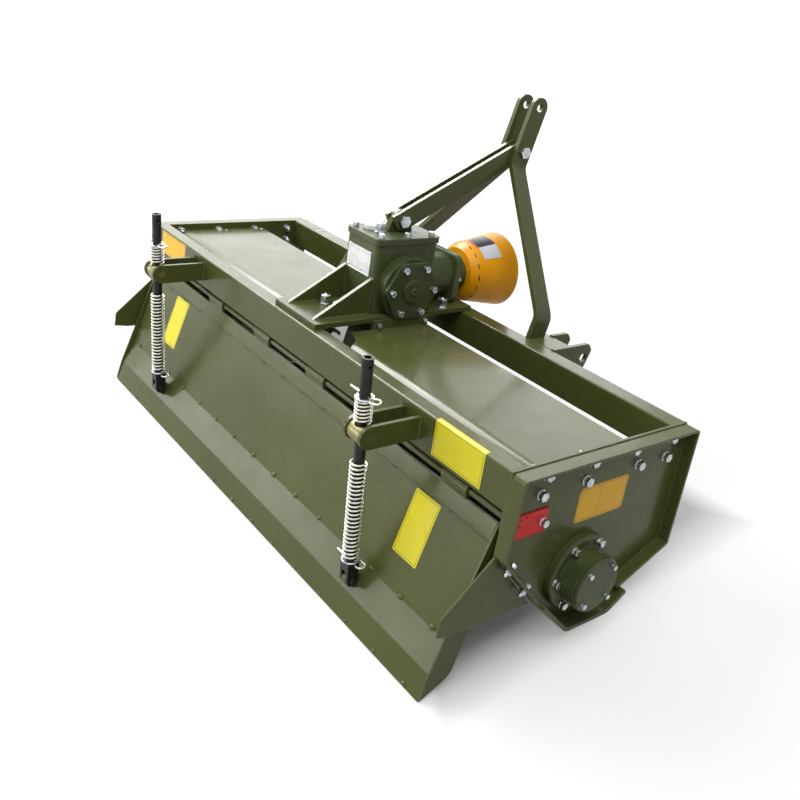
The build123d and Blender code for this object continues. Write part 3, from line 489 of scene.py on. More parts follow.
# %% Give every frame piece its finish
finishes = {
    "olive_paint": olive_paint,
    "cast_paint": cast_paint,
    "tine_steel": tine_steel,
    "bright_steel": bright_steel,
    "zinc_plate": zinc_plate,
    "spring_zinc": spring_zinc,
    "black_paint": black_paint,
    "guard_plastic": guard_plastic,
    "plug_plastic": plug_plastic,
}
own_finish = {"hinge_rod": olive_paint, "rod_trunnion_right": yellow_zinc, "rod_trunnion_left": yellow_zinc}
for part in frame["record"]["subparts"]:
    mesh = nodes[part["node"]].data
    mesh.materials.clear()
    mesh.materials.append(own_finish.get(part["node"], finishes[part["material_slot"]]))

# %% [markdown]
# ## Working by hand
# The pieces below start from a primitive and are shaped in edit mode, as they would be by hand. They could
# be written as lists of points, but then no one could see how a shape came about. A few small helpers keep
# the steps short: one adds a primitive with nothing else selected, two pick faces or edges by where they
# are, one gives the place of a flat piece on a face, and one stands a finished piece on the machine and
# hangs it on its body.

# %% Small helpers for modelling
SIDES = (("right", 1), ("left", -1))
TOUCHING = 1e-6             # metres
FACING = 0.9                # share of a normal that points the way that is asked for


def only(piece):
    """Select one piece and nothing else."""
    bpy.ops.object.select_all(action="DESELECT")
    piece.select_set(True)
    bpy.context.view_layer.objects.active = piece


def start(adder, name, **sizes):
    """Add a primitive with nothing else selected, name it, and apply its place."""
    bpy.ops.object.select_all(action="DESELECT")
    adder(**sizes)
    piece = bpy.context.active_object
    piece.name = name
    piece.data.name = name
    bpy.ops.object.transform_apply(location=True, rotation=True, scale=True)
    return piece


def edit(piece):
    """Edit mode for one piece."""
    only(piece)
    bpy.ops.object.mode_set(mode="EDIT")


def done():
    """Leave edit mode."""
    bpy.ops.object.mode_set(mode="OBJECT")


def deselect(piece, kind):
    """Make a piece ready for the choice of faces or edges, with none selected."""
    edit(piece)
    bpy.ops.mesh.select_mode(type=kind)
    bpy.ops.mesh.select_all(action="DESELECT")
    done()


def choose(piece, test):
    """Edit mode, with only the faces selected whose middle and normal pass the test."""
    deselect(piece, "FACE")
    for face in piece.data.polygons:
        face.select = test(face.center, face.normal)
    edit(piece)


def choose_edges(piece, test):
    """Edit mode, with only the edges selected whose two ends pass the test."""
    deselect(piece, "EDGE")
    for edge in piece.data.edges:
        first, last = (piece.data.vertices[end].co for end in edge.vertices)
        edge.select = test(first, last)
    edit(piece)


def faces_up(middle, normal):
    """The test for the faces that look up."""
    return normal.z > FACING


def everything(piece):
    """Edit mode, with the whole mesh selected."""
    edit(piece)
    bpy.ops.mesh.select_all(action="SELECT")


def smooth(piece, angle):
    """Shade a piece smooth, apart from edges that are sharper than an angle."""
    only(piece)
    bpy.ops.object.shade_smooth_by_angle(angle=radians(angle))


def coat_faces(piece, number):
    """Give the selected faces one of the piece's coats."""
    piece.active_material_index = number
    bpy.ops.object.material_slot_assign()


def at(point, along, outward):
    """The place of a piece that was modelled flat on z = 0: its x runs along, and its z points outward."""
    turn = Matrix((along, outward.cross(along), outward)).transposed().to_4x4()
    return Matrix.Translation(Vector(point) * MM) @ turn


def copied(pattern, place):
    """A copy of a pattern, with its own mesh."""
    only(pattern)
    bpy.ops.object.duplicate()
    copy = bpy.context.active_object
    copy.matrix_world = place
    return copy


def joined(name, pieces):
    """One piece from many, with their places applied."""
    bpy.ops.object.select_all(action="DESELECT")
    for piece in pieces:
        piece.select_set(True)
    bpy.context.view_layer.objects.active = pieces[0]
    if len(pieces) > 1:
        bpy.ops.object.join()
    piece = bpy.context.active_object
    piece.name = name
    piece.data.name = name
    bpy.ops.object.transform_apply(location=True, rotation=True, scale=True)
    return piece


def settle(piece, body, slot, *coats, place=STANDING):
    """Stand a piece on the machine, give it its coats, and hang it on its body."""
    piece.matrix_world = place @ piece.matrix_world
    only(piece)
    bpy.ops.object.transform_apply(location=True, rotation=True, scale=True)
    if coats:
        piece.data.materials.clear()
        for coat in coats:
            piece.data.materials.append(coat)
    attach(piece, body)


print("modelling helpers ready")

# %% [markdown]
# ## Fasteners
# Nearly every seam of the machine is bolted, and the bright zinc heads are what the eye counts. A bolt is a
# six-sided cylinder whose top is inset and lifted to a chamfer, on a flat and a spring washer. A nut has
# the end of its bolt standing out. Geometry Nodes could scatter them, but here each row follows drilled
# holes, so a list of places is shorter. Each is modelled once and copied, each copy turned a little
# further.

# %% Bolts and nuts
HEAD_TURN = 37             # degrees from one head to the next
RIM_SOFT = 0.2             # share of a disc's thickness that its rim is softened by
CHAMFER_IN, CHAMFER_UP = 0.13, 0.12     # shares of the head's corner radius and of its rise
DISH_IN, DISH_DOWN = 0.3, 0.06
DISC_SIDES, STUD_SIDES = 18, 14
SHARP = 28                 # degrees


def disc_on(piece, radius, low, high, sides=DISC_SIDES):
    """Add a disc with a softened upper rim to a piece, between two heights in millimetres."""
    soft = (high - low) * RIM_SOFT
    top = (high - soft) * MM
    edit(piece)
    bpy.ops.mesh.select_all(action="DESELECT")
    bpy.ops.mesh.primitive_cylinder_add(vertices=sides, radius=radius * MM, depth=top - low * MM,
                                        location=(0, 0, (top + low * MM) / 2))
    done()
    choose(piece, lambda middle, normal: faces_up(middle, normal) and abs(middle.z - top) < TOUCHING)
    bpy.ops.mesh.inset(thickness=soft * MM, depth=soft * MM)
    done()


def hex_head(name, across, rise, washers=()):
    """A six-sided head on a stack of washers, standing on z = 0."""
    low = sum(thick for _, thick in washers)
    corner = across / 2 / cos(radians(30)) * MM
    head = start(bpy.ops.mesh.primitive_cylinder_add, name, vertices=6, radius=corner, depth=rise * MM,
                 location=(0, 0, (low + rise / 2) * MM))
    choose(head, faces_up)
    bpy.ops.mesh.inset(thickness=corner * CHAMFER_IN, depth=rise * CHAMFER_UP * MM)
    bpy.ops.mesh.inset(thickness=corner * DISH_IN, depth=-rise * DISH_DOWN * MM)
    done()
    height = 0
    for radius, thick in washers:
        disc_on(head, radius, height, height + thick)
        height += thick
    smooth(head, SHARP)
    return head


def hex_nut(name, across, rise, washers, stud_radius, stud_rise):
    """A nut on its washers, with the bolt's end standing out."""
    nut = hex_head(name, across, rise, washers)
    disc_on(nut, stud_radius, 0, stud_rise, STUD_SIDES)
    smooth(nut, SHARP)
    return nut


def fasteners(name, pattern, places):
    """Copies of one pattern at points of the level machine, in millimetres, with their outward directions."""
    copies = []
    for number, (point, outward) in enumerate(places):
        spin = Matrix.Rotation(radians(HEAD_TURN * number), 4, "Z")
        turn = UP.rotation_difference(outward).to_matrix().to_4x4()
        copies.append(copied(pattern, Matrix.Translation(Vector(point) * MM) @ turn @ spin))
    settle(joined(name, copies), "frame", "zinc_plate", zinc_plate)


plate_bolt = hex_head("plate_bolt", 17, 7, ((10.5, 2), (8.4, 2.6)))
flange_bolt = hex_head("flange_bolt", 14, 6, ((8.6, 1.8), (7.2, 2.2)))
cover_bolt = hex_head("cover_bolt", 14, 7, ((7.4, 2.2),))
cap_bolt = hex_head("cap_bolt", 10, 5, ((5.4, 1.6),))
plate_nut = hex_nut("plate_nut", 17, 8, ((10.5, 2), (8.4, 2.4)), 5, 19)
base_nut = hex_nut("base_nut", 22, 14, ((14, 3), (11.5, 3.5)), 7.2, 24)
shield_nut = hex_nut("shield_nut", 13, 7, ((8, 1.6),), 4, 17)
print("bolt of", len(plate_bolt.data.polygons), "faces, nut of", len(plate_nut.data.polygons))

# %% [markdown]
# The beams' end plates are bolted to the side plates in two rows, with the heads outside and the nuts
# inside. The holes are listed once, in the side view, and a loop sets them on both sides. A Mirror modifier
# would mirror how far each head is turned as well, and no fitter does that.

# %% Bolts through the side plates
SIDE_FACE = 731
END_INNER = 719
LOWER_ROW = [(-143, 197), (-27, 197), (121, 196), (204, 195)]
UPPER_ROW = [(-138, 235), (-21, 235), (94, 235), (208, 235)]
INNER_NUTS = [(-150, 236), (-35, 234), (80, 232), (190, 231), (190, 197)]


def on_both_sides(name, pattern, face, holes, facing=1):
    """Fasteners at the same holes of the side view on the right and on the left, facing out or (-1) in."""
    for side, sign in SIDES:
        outward = RIGHT * sign * facing
        fasteners(f"{name}_{side}", pattern, [((sign * face, y, z), outward) for y, z in holes])


on_both_sides("side_plate_bolts", plate_bolt, SIDE_FACE, LOWER_ROW + UPPER_ROW)
on_both_sides("end_plate_nuts", plate_nut, END_INNER, INNER_NUTS, facing=-1)
print("side plate bolts:", len(LOWER_ROW + UPPER_ROW), "a side")

# %% [markdown]
# At each end the rotor runs in a flanged housing under a cap. Both have their bolts on a circle. The places
# could be typed, but a radius and a count are what the holes are drilled by, so a short function turns them
# into places.

# %% Bolts of the rotor bearings
FLANGE_FACE = 749
CAP_FACE = 793
FLANGE_BOLTS, FLANGE_BOLT_RADIUS = 6, 68
CAP_BOLTS, CAP_BOLT_RADIUS = 4, 46
CAP_FIRST = 45             # degrees


def ring(radius, count, first=0.0, centre=(0, 0)):
    """Places on a bolt circle in the side view."""
    turns = [radians(first + 360 * number / count) for number in range(count)]
    return [(centre[0] + radius * cos(turn), centre[1] + radius * sin(turn)) for turn in turns]


on_both_sides("bearing_flange_bolts", flange_bolt, FLANGE_FACE, ring(FLANGE_BOLT_RADIUS, FLANGE_BOLTS))
on_both_sides("bearing_cap_bolts", cap_bolt, CAP_FACE, ring(CAP_BOLT_RADIUS, CAP_BOLTS, CAP_FIRST))
print("bearing bolts:", FLANGE_BOLTS, "in the flange and", CAP_BOLTS, "in the cap")

# %% [markdown]
# The gearbox is closed by a top cover, a six-sided cover on each side and the input's plate, and four large
# nuts hold it on its base. A breather plug stands on the top cover. It could have a shape of its own, but
# it looks like one of the large nuts, so it is a copy of the same pattern.

# %% Bolts of the gearbox
COVER_TOP = 440
COVER_BOLTS = [(x, y) for x in (-51, 51) for y in (-33, 40, 109)]
BREATHER = (4, -4)
SIDE_COVER_FACE = 98
SHAFT_AXIS = (39, 326)
SIDE_COVER_BOLTS, SIDE_COVER_BOLT_RADIUS = 6, 59
BASE_TOP = 266
BASE_NUTS = [(-27, -110), (27, -110), (-68, 160), (68, 160)]
UPRIGHT_FACE = 91
UPRIGHT_BOLTS = [(-38, 248), (92, 248)]
SLEEVE_FACE = 212
SLEEVE_BOLTS, SLEEVE_BOLT_RADIUS = 8, 53

fasteners("top_cover_bolts", cover_bolt, [((x, y, COVER_TOP), UP) for x, y in COVER_BOLTS])
fasteners("breather_plug", base_nut, [((*BREATHER, COVER_TOP), UP)])
around_hub = ring(SIDE_COVER_BOLT_RADIUS, SIDE_COVER_BOLTS, centre=SHAFT_AXIS)
on_both_sides("side_cover_bolts", cover_bolt, SIDE_COVER_FACE, around_hub)
on_both_sides("hood_upright_bolts", cap_bolt, UPRIGHT_FACE, UPRIGHT_BOLTS)
around_input = ring(SLEEVE_BOLT_RADIUS, SLEEVE_BOLTS, centre=(0, SHAFT_AXIS[1]))
fasteners("input_plate_bolts", cap_bolt, [((x, SLEEVE_FACE, z), AHEAD) for x, z in around_input])
fasteners("gearbox_base_nuts", base_nut, [((x, y, BASE_TOP), UP) for x, y in BASE_NUTS])
print("gearbox bolts:", len(COVER_BOLTS) + 2 * SIDE_COVER_BOLTS + SLEEVE_BOLTS, "heads")

# %% [markdown]
# Each side cover has a threaded plug in its hub, sprayed over with the casting. A socket could be cut with
# a Boolean, but a low cylinder whose top is inset and sunk leaves a rim and a socket, and no loose edges.

# %% Hub plugs
HUB_FACE = 103
HUB_PLUG_RADIUS = 9
HUB_PLUG_RISE = 4
PLUG_CHAMFER_IN, PLUG_CHAMFER_UP = 1, 0.6
PLUG_RIM = 3
SOCKET_DRAFT, SOCKET_DEPTH = 0.4, 3
PLUG_SIDES, PLUG_SHARP = 24, 30

plugs = []
for sign in (1, -1):
    plug = start(bpy.ops.mesh.primitive_cylinder_add, "hub_plug", vertices=PLUG_SIDES,
                 radius=HUB_PLUG_RADIUS * MM, depth=HUB_PLUG_RISE * MM,
                 location=(0, 0, HUB_PLUG_RISE / 2 * MM))
    choose(plug, faces_up)
    bpy.ops.mesh.inset(thickness=PLUG_CHAMFER_IN * MM, depth=PLUG_CHAMFER_UP * MM)
    bpy.ops.mesh.inset(thickness=PLUG_RIM * MM, depth=0)
    bpy.ops.mesh.inset(thickness=SOCKET_DRAFT * MM, depth=-SOCKET_DEPTH * MM)
    done()
    smooth(plug, PLUG_SHARP)
    turn = UP.rotation_difference(RIGHT * sign).to_matrix().to_4x4()
    plug.matrix_world = Matrix.Translation(Vector((sign * HUB_FACE, *SHAFT_AXIS)) * MM) @ turn
    plugs.append(plug)
settle(joined("hub_plugs", plugs), "frame", "cast_paint", cast_paint)
print("hub plugs:", len(plugs))

# %% [markdown]
# The shields behind the side plates hang on the side plates' folded flange, which slants. Their bolts stand
# square to it, so their direction comes from the line of the flange and isn't typed: the nuts go below the
# sheet, the heads above it.

# %% Bolts of the side shields
SHIELD_SEAM_START = Vector((0, -216, 93))
SHIELD_SEAM_END = Vector((0, -100, -43))
FLANGE_MIDDLE = 744
FLANGE_SHEET = 5
SHIELD_BOLT_SHARES = (0.18, 0.62)

run = (SHIELD_SEAM_END - SHIELD_SEAM_START).normalized()
under = Vector((0, run.z, -run.y))
for side, sign in SIDES:
    below, above = [], []
    for share in SHIELD_BOLT_SHARES:
        point = SHIELD_SEAM_START.lerp(SHIELD_SEAM_END, share)
        point.x = sign * FLANGE_MIDDLE
        below.append((point, under))
        above.append((point - under * FLANGE_SHEET, -under))
    fasteners(f"shield_nuts_{side}", shield_nut, below)
    fasteners(f"shield_bolts_{side}", cap_bolt, above)
print("shield bolts:", len(SHIELD_BOLT_SHARES), "a side")

# %% [markdown]
# ## Springs
# The two rods carry coil springs. A curve with a bevel could draw them, but a wire circle beside the rod's
# axis and a Screw modifier wind the coil as a machine does: its offset is the pitch and its iterations are
# the turns. The round wire takes the place of the stepped coil in the frame.

# %% Wind the springs
WIRE_RADIUS = 2.0
COIL_RADIUS = 15.5
LONG_TURNS = 24
SHORT_TURNS = 6
LONG_SPAN = (46.3, 262.1)     # along the rod, from its pin
SHORT_SPAN = (341.2, 388.4)
WIRE_SIDES = 8
STEPS_A_TURN = 20
COIL_SHARP = 60               # degrees


def rod_line(side):
    """A rod's pin and its direction."""
    pin = Vector(joints[f"rod_pin_{side}"]["pos_m"])
    eye = Vector(joints[f"trunnion_turn_{side}"]["pos_m"])
    return pin, (eye - pin).normalized()


def rod_place(side):
    """The place of a piece that was modelled along z from the rod's pin."""
    pin, direction = rod_line(side)
    return Matrix.Translation(pin) @ UP.rotation_difference(direction).to_matrix().to_4x4()


def coil(name, span, turns):
    """A closed coil along z between two heights, in millimetres."""
    height = (span[1] - span[0] - 2 * WIRE_RADIUS) * MM
    wire = start(bpy.ops.mesh.primitive_circle_add, name, vertices=WIRE_SIDES, radius=WIRE_RADIUS * MM,
                 location=(COIL_RADIUS * MM, 0, (span[0] + WIRE_RADIUS) * MM), rotation=(pi / 2, 0, 0))
    winding = wire.modifiers.new("winding", "SCREW")
    winding.axis = "Z"
    winding.screw_offset = height / turns
    winding.iterations = turns
    winding.steps = winding.render_steps = STEPS_A_TURN
    bpy.ops.object.modifier_apply(modifier="winding")
    everything(wire)
    bpy.ops.mesh.remove_doubles(threshold=TOUCHING)
    bpy.ops.mesh.fill_holes(sides=0)
    bpy.ops.mesh.normals_make_consistent(inside=False)
    done()
    smooth(wire, COIL_SHARP)
    return wire


for side in ("right", "left"):
    place = rod_place(side)
    long_spring = coil(f"long_spring_{side}", LONG_SPAN, LONG_TURNS)
    settle(long_spring, f"rod_{side}", "spring_zinc", spring_zinc, place=place)
    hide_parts(f"lower_spring_{side}")
    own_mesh(long_spring)
    short_spring = coil(f"short_spring_{side}", SHORT_SPAN, SHORT_TURNS)
    settle(short_spring, f"trunnion_{side}", "spring_zinc", spring_zinc, place=place)
    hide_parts(f"upper_spring_{side}")
print("springs of", LONG_TURNS, "and", SHORT_TURNS, "turns")

# %% [markdown]
# ## Washers and wire clips on the rods
# A zinc washer closes each spring on its rod. Two cylinders and a Boolean would give a ring as well, but a
# cylinder whose two faces are inset and bridged opens its own hole, and its softened rims come with it.

# %% Turn the washers
ROD_RADIUS = 11
WASHER_RADIUS = 18.2
WASHER_PLAY = 0.3             # between a washer and its rod
WASHER_RIM, WASHER_CROWN = 0.7, 0.5
WASHER_SIDES, WASHER_SHARP = 40, 30
UPPER_WASHER = (389, 391.6)   # along the rod, from its pin
LOWER_WASHER = (43.4, 45.6)


def rod_washer(name, low, high):
    """A washer round the rod between two heights, in millimetres."""
    piece = start(bpy.ops.mesh.primitive_cylinder_add, name, vertices=WASHER_SIDES, radius=WASHER_RADIUS * MM,
                  depth=(high - low) * MM, location=(0, 0, (low + high) / 2 * MM))
    land = WASHER_RADIUS - WASHER_RIM - WASHER_PLAY - ROD_RADIUS
    choose(piece, lambda middle, normal: abs(normal.z) > FACING)
    bpy.ops.mesh.inset(thickness=WASHER_RIM * MM, depth=WASHER_CROWN * MM)
    bpy.ops.mesh.inset(thickness=land * MM, depth=0)
    bpy.ops.mesh.bridge_edge_loops()
    done()
    smooth(piece, WASHER_SHARP)
    return piece


for side in ("right", "left"):
    rings = [rod_washer("upper", *UPPER_WASHER), rod_washer("lower", *LOWER_WASHER)]
    washers = joined(f"rod_washers_{side}", rings)
    settle(washers, f"rod_{side}", "zinc_plate", zinc_plate, place=rod_place(side))
print("washers: two on each rod")

# %% [markdown]
# A bent wire clip keeps each washer on its rod. A curve could be drawn through points, but then its bends
# would differ. So a clip is made as a smith bends it: the end face of a wire is extruded along each
# straight run and spun round each bend. Spin turns clockwise round its axis, so the axis that it gets
# points the other way. The upper clip hugs the round rod, and the lower one goes straight through the
# square fork.

# %% Bend the clips
CLIP_WIRE = 1.9
CLIP_SIDES = 8
STEP_ANGLE = 18             # degrees of a bend in one step
CLIP_SHARP = 50
CLIP_REACH = 44             # how far the straight leg stands out on the left of the rod
UPPER_CLIP_AT = 394.2
LOWER_CLIP_AT = 40
HUG = 13.2                  # from the rod's axis to the wire that hugs it
EYE = 10                    # radius of the clip's eye
SQUARE_LEG = 15.6           # from the pin's axis to the outer leg on the square fork
SQUARE_EYE = 9.2


def bent_wire(name, start_at, moves):
    """A wire from a point along x. A move is a straight run or a bend (angle, radius), left if positive."""
    place = Vector(start_at) * MM
    heading = RIGHT.copy()
    wire = start(bpy.ops.mesh.primitive_circle_add, name, vertices=CLIP_SIDES, radius=CLIP_WIRE * MM,
                 fill_type="NGON", location=place, rotation=(0, pi / 2, 0))
    everything(wire)
    for move in moves:
        if isinstance(move, tuple):
            angle, radius = move
            about = UP if angle > 0 else DOWN
            centre = place + about.cross(heading) * radius * MM
            steps = max(3, round(abs(angle) / STEP_ANGLE))
            bpy.ops.mesh.spin(steps=steps, angle=radians(abs(angle)), center=centre, axis=-about)
            swing = Matrix.Rotation(radians(angle), 3, "Z")
            place = centre + swing @ (place - centre)
            heading = swing @ heading
        else:
            bpy.ops.mesh.extrude_region_move(TRANSFORM_OT_translate={"value": heading * move * MM})
            place = place + heading * move * MM
    bpy.ops.mesh.select_all(action="SELECT")
    bpy.ops.mesh.remove_doubles(threshold=TOUCHING)
    bpy.ops.mesh.normals_make_consistent(inside=False)
    done()
    smooth(wire, CLIP_SHARP)
    return wire


ROUND_MOVES = [CLIP_REACH + 14.8, (-40, 5), 7.6, (260, EYE), 7.6, (-104, 4), (134, HUG), (-70, 4), 14]
SQUARE_MOVES = [CLIP_REACH + 16, (-25, 6), (230, SQUARE_EYE), (-25, 6), 34, (-30, 6), 8]
for side in ("right", "left"):
    upper = bent_wire("upper", (-CLIP_REACH, 0, UPPER_CLIP_AT), ROUND_MOVES)
    lower = bent_wire("lower", (-CLIP_REACH, 0, LOWER_CLIP_AT), SQUARE_MOVES)
    clips = joined(f"rod_clips_{side}", [upper, lower])
    settle(clips, f"rod_{side}", "spring_zinc", spring_zinc, place=rod_place(side))
print("clips of", len(clips.data.polygons), "faces on each rod")

# %% [markdown]
# ## Weld spots
# The apron's fold and its hinge strap are tack-welded every hand's breadth, and the arms and gussets have a
# short seam. A bead could be swept along a curve, but it would lack the ripple of hand work. One dab is a
# ball that is flattened and cut in half. A row of dabs is a tack, and dabs that overlap are a seam. All are
# sprayed over, so they take the olive paint.

# %% A dab of weld
DAB_HEIGHT = 0.5            # share of its radius
DAB_DRIFT, DAB_BEAT = 0.16, 7.3     # how much dabs differ in size, and how fast that changes along a row
DAB_SEGMENTS, DAB_RINGS, DAB_SHARP = 8, 6, 80

dab = start(bpy.ops.mesh.primitive_uv_sphere_add, "weld_dab", segments=DAB_SEGMENTS, ring_count=DAB_RINGS,
            radius=1)
choose(dab, lambda middle, normal: middle.z < 0)
bpy.ops.mesh.delete(type="FACE")
bpy.ops.mesh.select_all(action="SELECT")
bpy.ops.transform.resize(value=(1, 1, DAB_HEIGHT))
done()
smooth(dab, DAB_SHARP)


def welds(name, places, radius, stretch, body):
    """Dabs at points of the level machine, drawn out along a direction: (point, along, outward)."""
    copies = []
    for number, (point, along, outward) in enumerate(places):
        size = radius * (1 + DAB_DRIFT * sin(DAB_BEAT * number)) * MM
        lie = Matrix.Diagonal((size * stretch, size, size, 1))
        copies.append(copied(dab, at(point, along, outward) @ lie))
    settle(joined(name, copies), body, "olive_paint", olive_paint)


print("dab of", len(dab.data.polygons), "faces")

# %% [markdown]
# The apron is one sheet with a fold, a ledge and a lip. Its corners in the side view give the directions
# that its faces look in, so the tacks lie on the sheet wherever it slants. They ride on the apron and swing
# up with it.

# %% Tacks on the apron
APRON_TOP = Vector((0, -208, 144))
APRON_FOLD = Vector((0, -277, -83))
APRON_EDGE = Vector((0, -307, -140))
APRON_LIP = Vector((0, -323, -192.5))
APRON_HALF = 700
STRAP_WIDTH = 34
FOLD_STEP = 95
STRAP_STEP = 86
FOLD_RISE = 3               # how far above the fold its tacks sit
LIP_SHARE = 0.9             # how far down the lip its tacks sit
FOLD_TACK = (5, 1.2)        # radius, and how far it is drawn out
STRAP_TACK = (4.6, 1.4)
LIP_TACK = (3.4, 1.6)

panel_down = (APRON_FOLD - APRON_TOP).normalized()
panel_out = panel_down.cross(RIGHT)
ledge_out = (APRON_EDGE - APRON_FOLD).normalized().cross(RIGHT)
lip_out = (APRON_LIP - APRON_EDGE).normalized().cross(RIGHT)


def across_apron(point, step, outward):
    """Places along a line across the apron, at an even step."""
    count = int(2 * APRON_HALF / step)
    return [(point + RIGHT * step * (number - count / 2), RIGHT, outward) for number in range(count + 1)]


fold_out = (panel_out + ledge_out).normalized()
strap_foot = APRON_TOP + panel_down * STRAP_WIDTH
fold_line = APRON_FOLD - panel_down * FOLD_RISE
lip_line = APRON_EDGE.lerp(APRON_LIP, LIP_SHARE)
welds("apron_fold_tacks", across_apron(fold_line, FOLD_STEP, fold_out), *FOLD_TACK, "apron")
welds("apron_strap_tacks", across_apron(strap_foot + panel_out, STRAP_STEP, panel_out), *STRAP_TACK, "apron")
welds("apron_lip_tacks", across_apron(lip_line, FOLD_STEP, lip_out), *LIP_TACK, "apron")
print("tacks every", FOLD_STEP, "and", STRAP_STEP, "mm")

# %% [markdown]
# The rods' arms are welded to the rear beam, and the gussets to the base plate and the gearbox. Each seam
# lies in a corner between two plates, so its dabs look out half-way between the directions of the two.

# %% Seams on the arms and gussets
REAR_FACE = -217
ARM_FACES = (425, 481)
ARM_Z = (195, 238)
GUSSET_FACES = (49, 59)
GUSSET_Y = (-188, -50)
GUSSET_Z = (270, 345)
BOX_REAR = -47
SEAM_STEP = 5
ARM_BEAD = (3.2, 1.5)       # radius, and how far it is drawn out
GUSSET_BEAD = (2.8, 1.6)


def seam(first, last, outward):
    """Overlapping dabs from one point to another."""
    first, last = Vector(first), Vector(last)
    along = (last - first).normalized()
    count = int((last - first).length / SEAM_STEP)
    across = (outward - along * outward.dot(along)).normalized()
    return [(first.lerp(last, number / count), along, across) for number in range(count + 1)]


arm_dabs, gusset_dabs = [], []
for sign in (1, -1):
    for x, away in zip(ARM_FACES, (LEFT, RIGHT)):
        bottom, top = ((sign * x, REAR_FACE, z) for z in ARM_Z)
        arm_dabs += seam(bottom, top, away * sign + BEHIND)
    for x, away in zip(GUSSET_FACES, (LEFT, RIGHT)):
        rear, front = ((sign * x, y, BASE_TOP) for y in GUSSET_Y)
        gusset_dabs += seam(rear, front, away * sign + UP)
        bottom, top = ((sign * x, BOX_REAR, z) for z in GUSSET_Z)
        gusset_dabs += seam(bottom, top, away * sign + BEHIND)
welds("arm_seams", arm_dabs, *ARM_BEAD, "frame")
welds("gusset_seams", gusset_dabs, *GUSSET_BEAD, "frame")
print("seams of", len(arm_dabs), "and", len(gusset_dabs), "dabs")

# %% [markdown]
# ## Films and plates
# The films are left blank but for a thin printed border. A border could be a mask in the material, but it
# would blur and would need a UV map. So each film is a plane that is extruded to the film's thickness, and
# two insets of its top face leave the line as faces of their own. A bisected field gets a line across it.
# The corners are rounded last, because an inset that is wider than a corner's radius would fold over
# itself.

# %% Small helpers for films
FILM = 0.35
LINE_MARGIN = 3.5
LINE_WIDTH = 0.9
CORNER_STEPS = 4


def flat_piece(name, width, height, thick, *coats):
    """A sheet on z = 0 round the origin, left in edit mode with its top face selected."""
    piece = start(bpy.ops.mesh.primitive_plane_add, name, size=1)
    for coat in coats:
        piece.data.materials.append(coat)
    everything(piece)
    bpy.ops.transform.resize(value=(width * MM, height * MM, 1))
    bpy.ops.mesh.extrude_region_move(TRANSFORM_OT_translate={"value": (0, 0, thick * MM)})
    bpy.ops.mesh.select_all(action="SELECT")
    bpy.ops.mesh.normals_make_consistent(inside=False)
    done()
    choose(piece, faces_up)
    return piece


def round_corners(piece, corner):
    """Round the upright edges at a flat piece's four corners, and leave edit mode."""
    done()
    half_x = max(vertex.co.x for vertex in piece.data.vertices)
    half_y = max(vertex.co.y for vertex in piece.data.vertices)

    def at_corner(point):
        return abs(abs(point.x) - half_x) < TOUCHING and abs(abs(point.y) - half_y) < TOUCHING

    def upright(first, last):
        return at_corner(first) and at_corner(last) and abs(first.z - last.z) > TOUCHING

    choose_edges(piece, upright)
    bpy.ops.mesh.bevel(offset=corner * MM, segments=CORNER_STEPS, affect="EDGES")
    done()


def printed_line(piece, margin, width):
    """A line in the piece's second coat round the selected face."""
    bpy.ops.mesh.inset(thickness=margin * MM)
    coat_faces(piece, 1)
    bpy.ops.mesh.inset(thickness=width * MM)
    coat_faces(piece, 0)


def divider(piece, field, x, width):
    """A printed line across the field, which reaches this far each way from the middle."""
    def in_field(middle, normal):
        return faces_up(middle, normal) and abs(middle.y) < TOUCHING and abs(middle.x) < field * MM

    for edge in (x - width / 2, x + width / 2):
        done()
        choose(piece, in_field)
        bpy.ops.mesh.bisect(plane_co=(edge * MM, 0, 0), plane_no=(1, 0, 0))
    done()
    choose(piece, lambda middle, normal: in_field(middle, normal) and abs(middle.x / MM - x) < width / 2)
    coat_faces(piece, 1)


def lay_film(name, width, height, corner, point, along, outward, coat, body, split=None):
    """A bordered film on a face of the level machine."""
    piece = flat_piece(name, width, height, FILM, coat, film_line)
    printed_line(piece, LINE_MARGIN, LINE_WIDTH)
    if split is not None:
        divider(piece, width / 2 - LINE_MARGIN - LINE_WIDTH, split, LINE_WIDTH)
    round_corners(piece, corner)
    piece.matrix_world = at(point, along, outward)
    settle(piece, body, "guard_plastic")


print("film helpers ready")

# %% [markdown]
# Four blank films are laid flat: one near each end of the apron, one on the right side plate, with a line
# across it, and one on the rear beam's left end. Images on planes would be quicker, but a film that is a
# piece of its own has an edge that catches light, and the ones on the apron swing up with it.

# %% Cut the films
APRON_FILM = (72, 130, 3)   # width, height and corner radius
APRON_FILM_DROP = 73        # from the strap to the film's middle
APRON_FILMS = {"apron_film_right": 541, "apron_film_left": -525}
SIDE_FILM = (135, 74, 7)
SIDE_FILM_AT = (33.5, 143)
SIDE_FILM_SPLIT = -7
BEAM_FILM = (146, 60, 2)
BEAM_FILM_AT = (-611, 220)

panel_middle = APRON_TOP + panel_down * (STRAP_WIDTH + APRON_FILM_DROP)
for name, x in APRON_FILMS.items():
    lay_film(name, *APRON_FILM, panel_middle + RIGHT * x, RIGHT, panel_out, film_lemon, "apron")
side_place = (SIDE_FACE, *SIDE_FILM_AT)
lay_film("side_film", *SIDE_FILM, side_place, AHEAD, RIGHT, film_amber, "frame", split=SIDE_FILM_SPLIT)
beam_place = (BEAM_FILM_AT[0], REAR_FACE, BEAM_FILM_AT[1])
lay_film("beam_film_left", *BEAM_FILM, beam_place, RIGHT, BEHIND, film_amber, "frame")
print("films on the apron, the side plate and the beam")

